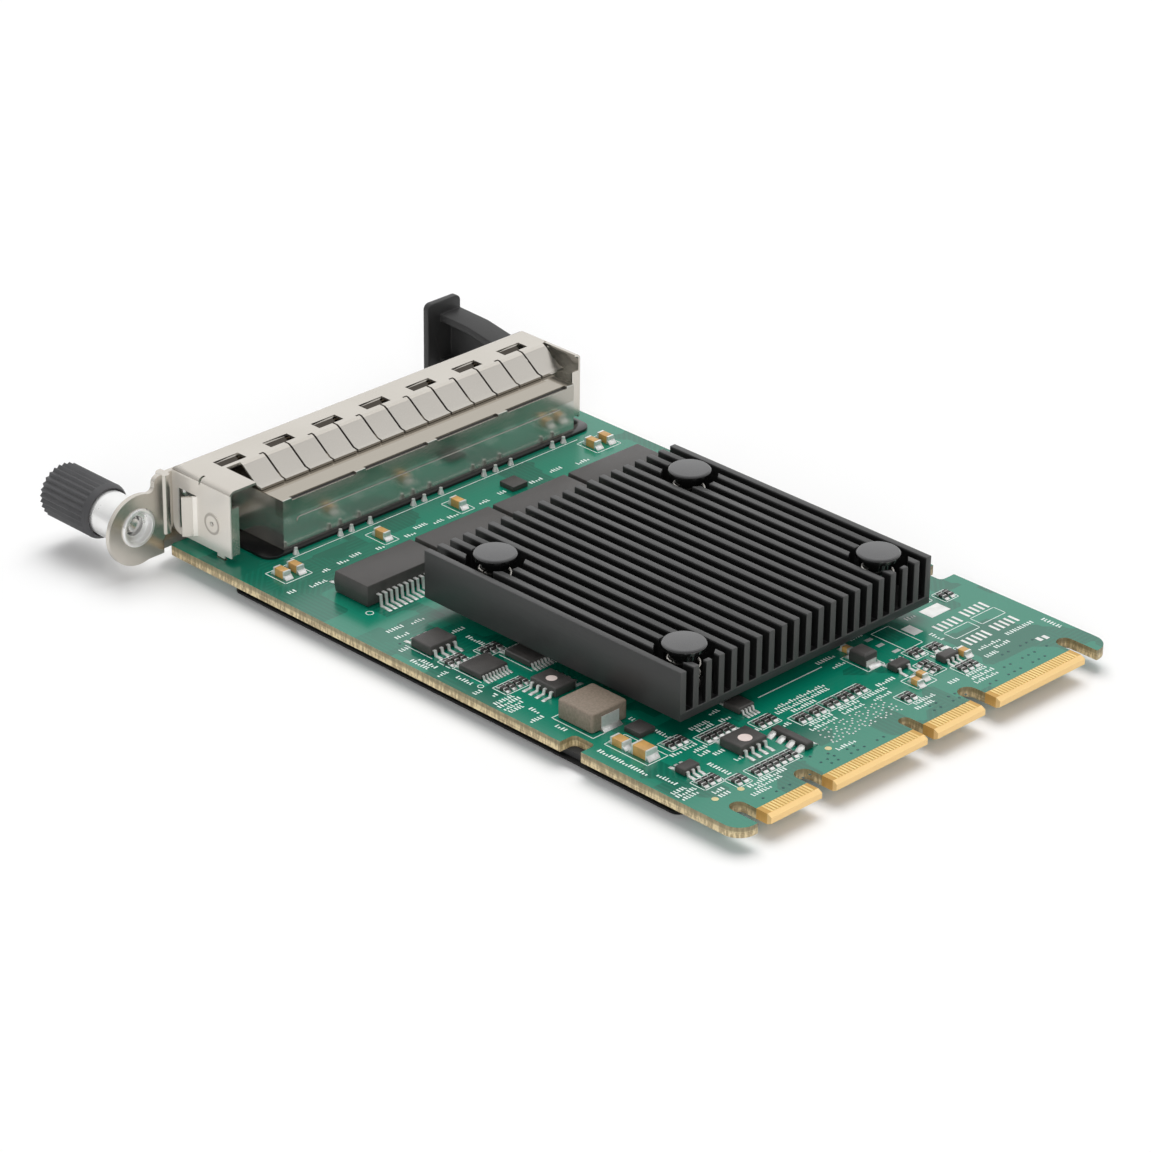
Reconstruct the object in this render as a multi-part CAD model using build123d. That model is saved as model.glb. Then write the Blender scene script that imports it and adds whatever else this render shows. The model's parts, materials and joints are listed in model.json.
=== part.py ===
"""Mezzanine network card with four network ports, a folded faceplate and a captive thumbscrew.

Millimetres, +Z up (component side). The origin is the middle of the connector tongue's leading
edge, at half the board's thickness. The card plugs in along +Y, so the faceplate faces -Y and the
board lies at negative Y. +X is the thumbscrew's side.
"""
from build123d import *
import os
from math import cos, pi, radians, sin

# Circuit board
board_length = 115.0
board_width = 76.0
board_thickness = 1.57
board_end_radius = 2.8
board_front_radius = 0.6

# Connector tongues at the rear edge, from the thumbscrew's side across
contact_pitch = 0.6
contact_width = 0.36
contact_length = 1.9
contact_thickness = 0.05
contact_setback = 0.75
tongue_contacts = (14, 28, 14, 28)
tongue_margin = 2.0
key_gaps = (2.9, 2.1, 3.1)
tongue_span_half = 31.9
end_gap = 2.6
key_depth = 6.0
bevel_length = 0.75
bevel_drop = 0.35

# Guide notches in the two long edges
notch_from_rear = 29.4
notch_length = 4.0
notch_depth = 2.8
notch_radius = 0.8

# Faceplate, one folded sheet; its rear face stands this far ahead of the board's front edge
plate_thickness = 0.8
plate_standoff = 2.0
plate_half_width = 38.4
plate_above_board = 10.5
plate_below_board = 3.8
plate_end_width = 4.4
wing_width = 2.2
wing_above_board = 9.0
hem_width = 1.45
hem_setback = 0.4
hem_low = 1.5
hem_high = 11.0
hem_edge_radius = 0.6
plate_bend_radius = 0.9
opening_gap = 0.15

# Screw ear and thumbscrew
screw_x = 43.1
screw_above_board = 4.2
ear_centre_x = 43.0
ear_centre_above_board = 3.8
ear_radius = 5.55
ear_neck_low = -1.5
ear_neck_high = 8.95
ear_step_width = 1.5
ear_step_high = 11.2
ear_inner_fillet = 0.9
ear_outer_fillet = 1.1
ear_setback = 0.8
running_gap = 0.10
sleeve_radius = 3.5
sleeve_length = 9.9
sleeve_pocket_radius = 2.8
sleeve_seat = 1.6
sleeve_lip = 0.5
sleeve_lip_radius = 1.9
ring_radius = 3.0
ring_height = 0.35
ring_chamfer = 0.15
ring_recess_radius = 2.35
ring_recess_depth = 1.1
screw_radius = 1.45
screw_tip_radius = 1.05
screw_tip_length = 0.9
screw_tip_recess = 0.95
collar_thickness = 0.6
washer_thickness = 0.4
washer_gap = 0.05
knob_radius = 4.35
knob_length = 10.6
knob_base_gap = 6.0
knob_bore_clearance = 0.12
knob_front_wall = 1.8
knob_teeth = 28
knob_tooth_depth = 0.4
knob_end_taper = 0.5
knob_collar = 1.0
screw_head_radius = 2.7
screw_head_height = 1.1
screw_recess_width = 0.8
screw_recess_length = 3.2
screw_recess_depth = 0.8
spring_wire = 0.45
spring_turns = 5

# Spring hood over the jack, one folded thin sheet
hood_half_width = 35.5
hood_sheet = 0.35
hood_rear = 10.9
hood_top_above_board = 11.4
hood_above_board = 0.7
hood_brow_low = 9.2
hood_corner_radius = 1.5
hood_bend_radius = 0.9
hood_lip_width = 1.7
hood_lip_low = 1.0
hood_lip_top = 8.6
hood_flange_near = 6.2
hood_flange_far = 3.7
hood_flange_height = 7.4
hood_foot_width = 1.6
hood_foot_from_front = 8.6
crease_y = 4.2
finger_count = 13
finger_pitch = 4.76
first_finger_x = 27.9
finger_slit = 0.34
open_slot = 2.5
finger_tip_y = 8.0
finger_lip = 0.9
finger_tip_above_board = 8.95
window_count = 7
slit_hook = 0.7
window_width = 4.8
window_length = 2.0
window_y = 1.5
window_offset = 0.3
window_tab_drop = 1.2
window_tab_margin = 0.5
relief_y = 3.95
relief_width = 0.4
relief_reach = 1.1
side_window = (-0.7, 3.4, 1.7, 8.25)
side_tab_length = 2.6
side_tab_margin = 0.1
side_tab_angle = 54
dimple_y = 6.9
dimple_above_board = 5.0
dimple_radius = 1.7
dimple_height = 0.15
dimple_hole_radius = 0.4

# Four-port jack, sunk into a cut-out of the board
jack_x = -1.8
jack_width = 59.2
jack_front = 3.1
jack_rear = 13.7
jack_above_board = 8.4
jack_below_board = 2.6
jack_shield = 0.3
jack_shield_above_board = 0.5
jack_sunk_rear = 12.0
cutout_clearance = 0.3
tray_half_width = 33.1
tray_front = 4.5
tray_rear = 14.4
tray_radius = 2.0
tray_height = 0.45
port_count = 4
port_pitch = 14.0
port_width = 11.9
port_floor = -0.2
port_height = 7.1
port_depth = 12.2
latch_width = 6.4
latch_depth = 1.6
latch_narrow_width = 3.4
latch_narrow_depth = 0.5
wires_per_port = 8
wire_pitch = 1.02
wire_width = 0.4
wire_thickness = 0.3
led_width = 2.2
led_height = 1.5
led_length = 3.0
led_offset = 4.75
led_drop = 0.35
tail_radius = 0.27
tail_clearance = 0.1
tail_y = 14.95
tail_rise = 1.0
tail_reach = 0.6
tail_cone_radius = 0.5
tail_cone_height = 0.75
tail_x = (26.6, 17.9, 15.7, 12.0, 3.3, 1.1, -2.3, -11.2, -13.6, -16.8, -25.6, -28.0)
rear_slot_ends = ((26.1, 13.5), (11.6, -0.9), (-2.8, -15.4), (-17.3, -29.9))
rear_slot_height = 0.35
rear_slot_length = 0.6
rear_bead_half_length = 27.0
rear_bead_height = 1.1
rear_bead_above_board = 4.5
rear_bead_rise = 0.15

# Pull tab
tab_x_outer = 37.8
tab_plate_width = 7.0
tab_plate_thickness = 1.2
tab_plate_top = 11.35
tab_plate_bottom = -1.9
tab_plate_corner = 1.0
tab_reach = 15.6
tab_web_thickness = 1.2
tab_web_inset = 0.9
tab_flange_width = 4.4
tab_flange_thickness = 1.2
tab_flange_top = 9.15
tab_flange_curve = ((0.0, 0.0), (0.45, 0.2), (0.77, 0.95), (1.0, 1.35))
tab_foot_thickness = 1.4
tab_foot_width = 6.2
tab_foot_margin = 1.6
tab_foot_corner = 0.8
tab_screw_x = 33.4
tab_screw_radius = 0.95
tab_screw_head_radius = 1.45
tab_screw_head_height = 0.9
tab_screw_heights = (1.6, 7.4)
tab_screw_bite = 1.3
cross_length = 1.6
cross_width = 0.3
cross_depth = 0.5
head_chamfer = 0.3
rivet_radius = 1.0
rivet_head_radius = 1.6
rivet_head_height = 0.5
rivet_x = 32.4
rivet_heights = (2.2, 7.0)

# Heatsink, pad and controller chip
sink_x = 0.1
sink_y = 66.6
sink_size = 50.7
sink_base = 2.3
sink_base_thickness = 1.25
sink_top = 9.8
fin_count = 21
fin_thickness = 1.05
pin_middle = (0.15, 68.45)
pin_spacing_x = 39.3
pin_spacing_y = 37.1
pin_well_radius = 4.2
chip_size = 21.0
chip_height = 1.6
chip_substrate = 0.6
chip_mould_inset = 0.5
pad_size = 20.0

# Push pins
pin_cap_radius = 3.2
pin_cap_height = 0.85
pin_cap_chamfer = 0.25
pin_cap_top = 10.8
pin_head_radius = 2.15
pin_head_height = 1.3
pin_shaft_radius = 1.4
pin_hole_clearance = 0.15
pin_barb_radius = 1.9
pin_barb_length = 1.2
pin_split = 0.5
pin_split_margin = 0.3
pin_barb_tip = 0.9
pin_spring_wire = 0.45
pin_spring_radius = 2.3
pin_spring_turns = 3

# Bottom insulator
insulator_gap = 0.85
insulator_thickness = 0.45
insulator_half_width = 37.4
insulator_front = 13.2
insulator_rear = 103.4
insulator_radius = 1.5
insulator_strip_width = 3.0
insulator_strip_length = 22.0
insulator_strip_x = 35.2
insulator_strip_y = (26.0, 64.0, 91.0)

# Components: (x, distance behind the board's front edge, size along x, size along y, height)
magnetics_count = 4
magnetics_first_x = 30.7
magnetics_length = 15.0
magnetics_pitch = 15.6
magnetics_y = 31.4
magnetics_width = 7.2
magnetics_height = 3.4
magnetics_taper = 6
magnetics_rim = 0.3
magnetics_lead_count = 12
magnetics_lead_pitch = 1.02
magnetics_lead_width = 0.45
magnetics_lead_reach = 2.5
magnetics_lead_shoulder = 0.8
lead_sheet = 0.15
lead_slope = 0.15
chip_standoff = 0.12

# x, y, body along x, body along y, height, leads a side, pitch, reach, width, leads face ("x" or "y")
lead_chips = (
    (31.6, 49.8, 5.0, 4.0, 1.5, 4, 1.27, 1.6, 0.45, "y"),
    (31.3, 59.5, 5.2, 4.4, 1.0, 8, 0.62, 1.1, 0.28, "y"),
    (24.2, 61.2, 4.4, 5.0, 1.0, 7, 0.62, 1.1, 0.28, "y"),
    (28.0, 70.0, 3.9, 5.0, 1.5, 4, 1.27, 1.6, 0.45, "x"),
    (31.3, 99.0, 2.9, 1.8, 1.1, 3, 1.0, 1.1, 0.42, "y"),
    (20.9, 99.4, 5.0, 4.0, 1.5, 4, 1.27, 1.6, 0.45, "y"),
    (13.7, 91.7, 3.0, 3.0, 1.0, 4, 0.65, 1.2, 0.3, "y"),
    (15.2, 103.1, 1.3, 6.6, 1.1, 4, 1.75, 0.7, 0.7, "x"),
    (-10.7, 99.2, 2.9, 1.7, 1.1, 2, 1.9, 1.3, 0.42, "y"),
    (-17.6, 102.1, 2.9, 1.7, 1.1, 3, 0.95, 1.1, 0.38, "y"),
)
chip_chamfer = 0.15
leadless_chips = ((28.2, 87.0, 3.0, 3.0, 0.8), (-12.0, 20.6, 3.0, 3.0, 0.8))

inductor_x = 30.2
inductor_y = 79.9
inductor_size = 6.8
inductor_height = 3.0
inductor_corner = 0.5
inductor_chamfer = 0.2
inductor_lead_width = 3.3
inductor_lead_height = 2.2
inductor_lead_foot = 1.4
inductor_lead_sheet = 0.12
diode_x = -8.6
diode_y = 94.4
diode_length = 3.0
diode_width = 2.6
diode_height = 2.0
diode_strap_width = 2.0
diode_strap_reach = 0.5
diode_strap_height = 0.9

# x, y, size along x, size along y, height
chip_capacitors = (
    (32.8, 18.95, 1.25, 2.4, 1.25),
    (30.2, 18.95, 1.25, 2.4, 1.25),
    (13.9, 19.65, 1.25, 2.4, 1.25),
    (-1.2, 19.85, 1.25, 2.4, 1.25),
    (-30.4, 18.95, 1.25, 2.4, 1.25),
    (-33.1, 18.95, 1.25, 2.4, 1.25),
    (32.4, 92.0, 2.0, 3.0, 1.5),
    (32.7, 87.9, 1.6, 2.5, 1.1),
    (-9.0, 104.0, 1.0, 1.8, 0.9),
    (-10.9, 103.2, 1.0, 1.8, 0.9),
    (-9.1, 90.9, 1.0, 1.6, 0.8),
    (-20.3, 102.8, 1.2, 1.8, 0.9),
)
capacitor_end = 0.32

# Rows of small resistors: x, y of the row's middle, how many, which way the row runs
resistor_rows = (
    (32.5, 55.0, 3, "x"), (26.6, 56.0, 3, "x"), (31.6, 65.8, 4, "x"), (27.1, 92.6, 3, "x"),
    (21.1, 94.7, 5, "x"), (14.0, 96.9, 3, "x"), (9.7, 99.8, 2, "x"), (6.9, 99.8, 2, "x"),
    (3.9, 99.7, 2, "x"), (1.1, 99.7, 2, "x"), (-1.7, 99.6, 2, "x"), (21.6, 105.6, 7, "x"),
    (31.4, 102.9, 3, "x"), (28.3, 105.5, 2, "x"), (-5.1, 105.8, 2, "x"), (-14.0, 102.1, 3, "y"),
    (-17.9, 105.5, 3, "x"), (-15.6, 97.9, 2, "x"), (-18.8, 98.8, 2, "x"), (-31.9, 89.2, 2, "x"),
)
resistor_pitch = 1.2
resistor_width = 0.8
resistor_length = 1.6
resistor_height = 0.45

# Derived places
front = -board_length
top = board_thickness / 2
bottom = -board_thickness / 2
plate_rear = front - plate_standoff
plate_front = plate_rear - plate_thickness
ear_rear = front - ear_setback
ear_front = ear_rear - plate_thickness
screw_z = top + screw_above_board
hood_top = top + hood_top_above_board
sleeve_front = ear_front - sleeve_length
collar_rear = sleeve_front + sleeve_lip + collar_thickness
screw_tip_y = ear_rear - screw_tip_recess
knob_base = ear_front - knob_base_gap
knob_front = knob_base - knob_length
pin_xs = [pin_middle[0] + side * pin_spacing_x / 2 for side in (1, -1)]
pin_ys = [front + pin_middle[1] + side * pin_spacing_y / 2 for side in (1, -1)]
pin_places = [(x, y) for x in pin_xs for y in pin_ys]
insulator_top = bottom - insulator_gap
insulator_bottom = insulator_top - insulator_thickness


def block(x0, x1, y0, y1, z0, z1):
    """Return a box between two corners given as ranges along X, Y and Z."""
    size = Box(abs(x1 - x0), abs(y1 - y0), abs(z1 - z0))
    return Pos((x0 + x1) / 2, (y0 + y1) / 2, (z0 + z1) / 2) * size


def rod_y(x, z, radius, y0, y1):
    """Return a round bar along Y."""
    return Pos(x, (y0 + y1) / 2, z) * Rot(90, 0, 0) * Cylinder(radius, abs(y1 - y0))


def rod_z(x, y, radius, z0, z1):
    """Return a round bar along Z."""
    return Pos(x, y, (z0 + z1) / 2) * Cylinder(radius, abs(z1 - z0))


def profile_x(points, x0, x1):
    """Extrude an outline of (y, z) points from x0 to x1."""
    face = Plane.YZ * make_face(Polyline(*points, close=True))
    return Pos(min(x0, x1), 0, 0) * extrude(face, abs(x1 - x0))


def profile_y(points, y0, y1):
    """Extrude an outline of (x, z) points from y0 to y1."""
    face = Plane.XZ * make_face(Polyline(*points, close=True))
    return Pos(0, max(y0, y1), 0) * extrude(face, abs(y1 - y0))


def at(shapes, axis, place):
    """Return the edges or vertices that lie in the plane across the axis at this place."""
    return shapes.filter_by_position(axis, place - 0.01, place + 0.01)


def tongues():
    """Return the X range and contact count of each connector tongue, from +X across."""
    ranges = []
    right = tongue_span_half
    for index, count in enumerate(tongue_contacts):
        width = (count - 1) * contact_pitch + tongue_margin
        ranges.append((right, right - width, count))
        if index < len(key_gaps):
            right -= width + key_gaps[index]
    return ranges


def rear_gaps():
    """Return the X range of every slot cut into the board's rear edge."""
    ranges = tongues()
    gaps = [(ranges[0][0] + end_gap, ranges[0][0])]
    for left, right in zip(ranges[:-1], ranges[1:]):
        gaps.append((left[1], right[0]))
    gaps.append((ranges[-1][1], ranges[-1][1] - end_gap))
    return gaps


def board_outline():
    """Draw the board from above, with its tongues, guide notches and jack cut-out."""
    sketch = Pos(0, front / 2) * Rectangle(board_width, board_length)
    sketch = fillet(at(sketch.vertices(), Axis.Y, 0), board_end_radius)
    sketch = fillet(at(sketch.vertices(), Axis.Y, front), board_front_radius)
    for left, right in rear_gaps():
        width = left - right
        slot = Pos((left + right) / 2, -key_depth / 2 + width / 4) * Rectangle(width, key_depth - width / 2)
        sketch -= slot + Pos((left + right) / 2, width / 2 - key_depth) * Circle(width / 2)
    for side in (1, -1):
        notch = RectangleRounded(2 * notch_depth, notch_length, notch_radius)
        sketch -= Pos(side * board_width / 2, -notch_from_rear - notch_length / 2) * notch
    cut_width = jack_width + 2 * cutout_clearance
    cut_depth = jack_sunk_rear + cutout_clearance
    sketch -= Pos(jack_x, front + cut_depth / 2) * Rectangle(cut_width, cut_depth)
    return sketch


def circuit_board():
    """Laminate board with bevelled tongues and its drilled and slotted holes."""
    board = Pos(0, 0, bottom) * extrude(board_outline(), board_thickness)
    for side in (1, -1):
        edge = side * board_thickness / 2
        cut = edge - side * bevel_drop
        wedge = [(-bevel_length, edge), (0.5, edge), (0.5, cut), (0, cut)]
        reach = tongue_span_half + 1
        board -= profile_x(wedge, -reach, reach)
    for x, y in pin_places:
        board -= rod_z(x, y, pin_shaft_radius + pin_hole_clearance, bottom, top)
    for x in tail_x:
        board -= rod_z(x, front + tail_y, tail_radius + tail_clearance, bottom, top)
    foot_y = front + hood_foot_from_front
    for side in (1, -1):
        inner = side * (hood_half_width - hood_sheet - 0.1)
        outer = side * (hood_half_width + 0.1)
        half = hood_foot_width / 2 + 0.15
        board -= block(inner, outer, foot_y - half, foot_y + half, bottom, top)
    return board


def edge_contacts():
    """Gold contact strips on both faces of the four tongues."""
    strips = []
    rear = -contact_setback
    for left, right, count in tongues():
        middle = (left + right) / 2
        for index in range(count):
            x = middle + (index - (count - 1) / 2) * contact_pitch
            half = contact_width / 2
            for low in (top, bottom - contact_thickness):
                high = low + contact_thickness
                strips.append(block(x - half, x + half, rear - contact_length, rear, low, high))
    return Compound(children=strips)


def ear_outline():
    """Draw the screw ear in the XZ plane: a round lobe, its neck and a raised step at the plate."""
    x0 = plate_half_width
    lobe = Pos(ear_centre_x, top + ear_centre_above_board) * Circle(ear_radius)
    neck_height = ear_neck_high - ear_neck_low
    neck_middle = top + (ear_neck_high + ear_neck_low) / 2
    neck = Pos((x0 + ear_centre_x) / 2, neck_middle) * Rectangle(ear_centre_x - x0, neck_height)
    step_height = ear_step_high - ear_centre_above_board
    step_middle = top + (ear_step_high + ear_centre_above_board) / 2
    step = Pos(x0 + ear_step_width / 2, step_middle) * Rectangle(ear_step_width, step_height)
    shape = lobe + neck + step
    corners = at(shape.vertices(), Axis.X, x0 + ear_step_width)
    shape = fillet(at(corners, Axis.Y, top + ear_step_high), ear_outer_fillet)
    corners = at(shape.vertices(), Axis.X, x0 + ear_step_width)
    return fillet(at(corners, Axis.Y, top + ear_neck_high), ear_inner_fillet)


def faceplate():
    """Folded steel faceplate with hemmed sides, one wide port opening and the screw ear."""
    low = top - plate_below_board
    end_low = bottom
    centre = plate_half_width - plate_end_width
    wing = plate_half_width - wing_width
    plate = block(-wing, plate_half_width, plate_front, plate_rear, end_low, top + plate_above_board)
    plate += block(-plate_half_width, -wing, plate_front, plate_rear, end_low, top + wing_above_board)
    plate += block(-centre, centre, plate_front, plate_rear, low, end_low)
    hem_rear = front - hem_setback
    for side, high in ((1, hem_high), (-1, wing_above_board)):
        inner = side * (plate_half_width - hem_width)
        plate += block(inner, side * plate_half_width, plate_front, hem_rear, top + hem_low, top + high)
    plate = fillet(at(plate.edges().filter_by(Axis.Z), Axis.Y, hem_rear), hem_edge_radius)
    folds = at(plate.edges().filter_by(Axis.Z), Axis.Y, plate_front)
    folds = at(folds, Axis.X, plate_half_width) + at(folds, Axis.X, -plate_half_width)
    plate = fillet(folds, plate_bend_radius)
    half = jack_width / 2 + opening_gap
    opening_low = top - jack_below_board - opening_gap
    opening_high = top + jack_above_board + opening_gap
    plate -= block(jack_x - half, jack_x + half, plate_front, plate_rear, opening_low, opening_high)
    ear = Plane.XZ * ear_outline()
    plate += Pos(0, ear_rear, 0) * extrude(ear, plate_thickness)
    root = plate_half_width - hem_width / 2
    plate += block(root, plate_half_width + 0.1, ear_front, ear_rear, top + hem_low, top + hem_high)
    plate -= rod_y(screw_x, screw_z, ring_radius, ear_front, ear_rear)
    for height in rivet_heights:
        plate -= rod_y(rivet_x, top + height, rivet_radius, plate_front, plate_rear)
    for height in tab_screw_heights:
        plate -= rod_y(-tab_screw_x, top + height, tab_screw_radius, plate_front, plate_rear)
    return plate


def rounded_cover(half, y0, y1, low, high, radius):
    """Return a box whose top edges are rounded along both sides and across the front."""
    cover = block(-half, half, y0, y1, low, high)
    rims = at(cover.edges(), Axis.Z, high)
    return fillet(rims.filter_by(Axis.Y) + at(rims.filter_by(Axis.X), Axis.Y, y0), radius)


def hood_shell():
    """Roof, two side walls and a short front brow, folded from one sheet round long bends."""
    low = top + hood_above_board
    y0 = plate_rear
    y1 = front + hood_rear
    t = hood_sheet
    shell = rounded_cover(hood_half_width, y0, y1, low, hood_top, hood_bend_radius)
    shell -= rounded_cover(hood_half_width - t, y0 + t, y1 + 1, low - 1, hood_top - t, hood_bend_radius - t)
    inner = hood_half_width - t
    shell -= block(-inner, inner, y0 - 1, y0 + t, low - 1, top + hood_brow_low)
    return shell


def finger_section():
    """Draw one spring finger from the side: a slope down from the roof and a flat lip."""
    y0 = front + crease_y
    y1 = front + finger_tip_y
    z0 = hood_top
    z1 = top + finger_tip_above_board
    t = hood_sheet
    upper = [(y0 - 0.3, z0), (y0 + 0.2, z0), (y0 + 0.7, z0 - 0.25), (y1, z1), (y1 + finger_lip, z1 - 0.12)]
    lower = [(y, z - t) for y, z in reversed(upper)]
    return upper + lower


def hood_windows(hood):
    """Cut the row of windows, each with a tab bent down inside it, and the slits' upper ends."""
    y0 = front + window_y
    y1 = y0 + window_length
    t = hood_sheet
    for index in range(window_count):
        x = first_finger_x + window_offset - 2 * index * finger_pitch
        half = window_width / 2
        hood -= block(x - half, x + half, y0, y1, hood_top - 1, hood_top + 1)
        reach = half - window_tab_margin
        y2 = y1 - window_tab_margin
        z2 = hood_top - window_tab_drop
        z1 = hood_top - t
        tab = [(y0 - 0.1, z1), (y0, z1), (y2, z2), (y2, z2 - t), (y0 - 0.1, z1 - t)]
        hood += profile_x(tab, x - reach, x + reach)
    half = finger_slit / 2
    for index in range(1, finger_count):
        x = first_finger_x - index * finger_pitch
        if index % 2:
            y2 = front + crease_y
            hood -= block(x - half, x + slit_hook, y2 - finger_slit, y2, hood_top - 1, hood_top + 1)
        else:
            hood -= block(x - half, x + half, y1 - 0.1, front + crease_y, hood_top - 1, hood_top + 1)
    return hood


def hood_side(hood, side):
    """Give one side wall its lip, foot, flange, window with a bent tab, relief notch and dimple."""
    low = top + hood_above_board
    y_rear = front + hood_rear
    outer = side * hood_half_width
    inner = side * (hood_half_width - hood_sheet)
    lip = side * (hood_half_width - hood_lip_width)
    hood += block(lip, inner, y_rear - hood_sheet, y_rear, top + hood_lip_low, top + hood_lip_top)
    foot_y = front + hood_foot_from_front
    half = hood_foot_width / 2
    hood += block(inner, outer, foot_y - half, foot_y + half, bottom - 0.3, low + 0.5)
    r = hood_corner_radius
    corner = block(inner, outer, plate_rear, plate_rear + r, low, low + r)
    corner -= Pos((inner + outer) / 2, plate_rear + r, low + r) * Rot(0, 90, 0) * Cylinder(r, 1)
    hood -= corner
    width = hood_flange_near if side > 0 else hood_flange_far
    flange = side * (hood_half_width - width)
    hood += block(flange, inner, plate_rear, plate_rear + hood_sheet, low, low + hood_flange_height)
    y0, y1, z0, z1 = side_window
    reach = side * (hood_half_width - 1)
    hood -= block(reach, side * (hood_half_width + 1), front + y0, front + y1, top + z0, top + z1)
    tab_low = top + z0 + side_tab_margin
    tab_high = top + z1 - side_tab_margin
    tab = block(-hood_sheet / 2, hood_sheet / 2, -side_tab_length, 0, tab_low, tab_high)
    hinge = Pos(side * (hood_half_width - hood_sheet / 2), front + y1, 0)
    hood += hinge * Rot(0, 0, side * side_tab_angle) * Pos(0, 0.25, 0) * tab
    notch = side * (hood_half_width - relief_reach)
    notch_y = front + relief_y
    notch_low = hood_top - relief_reach
    beyond = side * (hood_half_width + 1)
    hood -= block(notch, beyond, notch_y, notch_y + relief_width, notch_low, hood_top + 1)
    stud = Rot(0, 90, 0) * Cylinder(dimple_radius, dimple_height + hood_sheet)
    place = side * (hood_half_width + (dimple_height - hood_sheet) / 2)
    hood += Pos(place, front + dimple_y, top + dimple_above_board) * stud
    hole = Rot(0, 90, 0) * Cylinder(dimple_hole_radius, 2 * (dimple_height + hood_sheet))
    return hood - Pos(place, front + dimple_y, top + dimple_above_board) * hole


def emi_hood():
    """Thin spring-steel hood with thirteen sloped fingers that press on the jack's roof."""
    hood = hood_shell()
    y_crease = front + crease_y
    y_rear = front + hood_rear
    near_edge = first_finger_x + open_slot
    far_edge = first_finger_x - finger_count * finger_pitch - finger_slit
    hood -= block(far_edge, near_edge, y_crease, y_rear + 1, hood_top - hood_bend_radius - 1, hood_top + 1)
    for index in range(finger_count):
        left = first_finger_x - index * finger_pitch - finger_slit / 2
        right = first_finger_x - (index + 1) * finger_pitch + finger_slit / 2
        hood += profile_x(finger_section(), left, right)
    hood = hood_windows(hood)
    for side in (1, -1):
        hood = hood_side(hood, side)
    for height in rivet_heights:
        hood -= rod_y(rivet_x, top + height, rivet_radius, plate_rear, plate_rear + hood_sheet)
    for height in tab_screw_heights:
        hood -= rod_y(-tab_screw_x, top + height, tab_screw_radius, plate_rear, plate_rear + hood_sheet)
    return hood


def port_places():
    """Return the X of each port's middle."""
    return [jack_x + (index - (port_count - 1) / 2) * port_pitch for index in range(port_count)]


def jack_housing():
    """Black moulded housing with four port cavities, latch slots and a foot that laps the board."""
    y0 = front - jack_front + jack_shield
    half = jack_width / 2 - jack_shield
    roof = top + jack_above_board - jack_shield
    low = top - jack_below_board
    body = block(jack_x - half, jack_x + half, y0, front + jack_sunk_rear, low, roof)
    body += block(jack_x - half, jack_x + half, y0, front + jack_rear - jack_shield, top, roof)
    foot = RectangleRounded(2 * tray_half_width, tray_rear - tray_front, tray_radius)
    foot_y = front + (tray_front + tray_rear) / 2
    body += Pos(jack_x, foot_y, top) * extrude(foot, tray_height)
    depth_end = y0 + port_depth
    floor = top + port_floor
    for x in port_places():
        body -= block(x - port_width / 2, x + port_width / 2, y0, depth_end, floor, floor + port_height)
        body -= block(x - latch_width / 2, x + latch_width / 2, y0, depth_end - 4, floor - latch_depth, floor)
        narrow = latch_narrow_width / 2
        slot_low = floor - latch_depth - latch_narrow_depth
        body -= block(x - narrow, x + narrow, y0, depth_end - 4, slot_low, floor)
    return body - jack_leds()


def jack_leds():
    """Two small light lenses below each port's corners."""
    y0 = front - jack_front + jack_shield
    high = top + port_floor - led_drop
    lenses = []
    for x in port_places():
        for side in (1, -1):
            x0 = x + side * led_offset - led_width / 2
            lenses.append(block(x0, x0 + led_width, y0, y0 + led_length, high - led_height, high))
    return Compound(children=lenses)


def jack_wires():
    """Eight gold spring wires in each port, sloping down and back from the roof."""
    y0 = front - jack_front + jack_shield
    roof = top + port_floor + port_height
    back = y0 + port_depth
    t = wire_thickness
    upper = [(y0 + 2.6, roof), (y0 + 4.0, roof), (back - 2.4, roof - 2.1), (back - 1.2, roof - 2.0)]
    points = upper + [(y, z - t) for y, z in reversed(upper)]
    wires = []
    for x in port_places():
        for index in range(wires_per_port):
            wire_x = x + (index - (wires_per_port - 1) / 2) * wire_pitch
            wires.append(profile_x(points, wire_x - wire_width / 2, wire_x + wire_width / 2))
    return Compound(children=wires)


def jack_shield_can():
    """Mirror-bright shield over the jack's roof, sides and rear, with a beaded rear face."""
    y0 = front - jack_front
    y1 = front + jack_rear
    half = jack_width / 2
    low = top + jack_shield_above_board
    roof = top + jack_above_board
    t = jack_shield
    can = block(jack_x - half, jack_x + half, y0, y1, low, roof)
    can -= block(jack_x - half + t, jack_x + half - t, y0 - 1, y1 - t, low - 1, roof - t)
    for left, right in rear_slot_ends:
        can -= block(left, right, y1 - rear_slot_length, y1, roof - rear_slot_height, roof)
    bead = SlotOverall(2 * rear_bead_half_length, rear_bead_height)
    bead_z = top + rear_bead_above_board
    can += Pos(jack_x, y1 + rear_bead_rise, bead_z) * (Plane.XZ * extrude(bead, rear_bead_rise))
    return can


def jack_tails():
    """Solder tails through the board behind the housing, each with its cone of solder on top."""
    tails = []
    y = front + tail_y
    for x in tail_x:
        tail = rod_z(x, y, tail_radius, bottom - tail_reach, top + tail_rise)
        cone = Cone(tail_cone_radius, tail_radius, tail_cone_height)
        tails.append(tail + Pos(x, y, top + tail_cone_height / 2) * cone)
    return Compound(children=tails)


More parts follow.
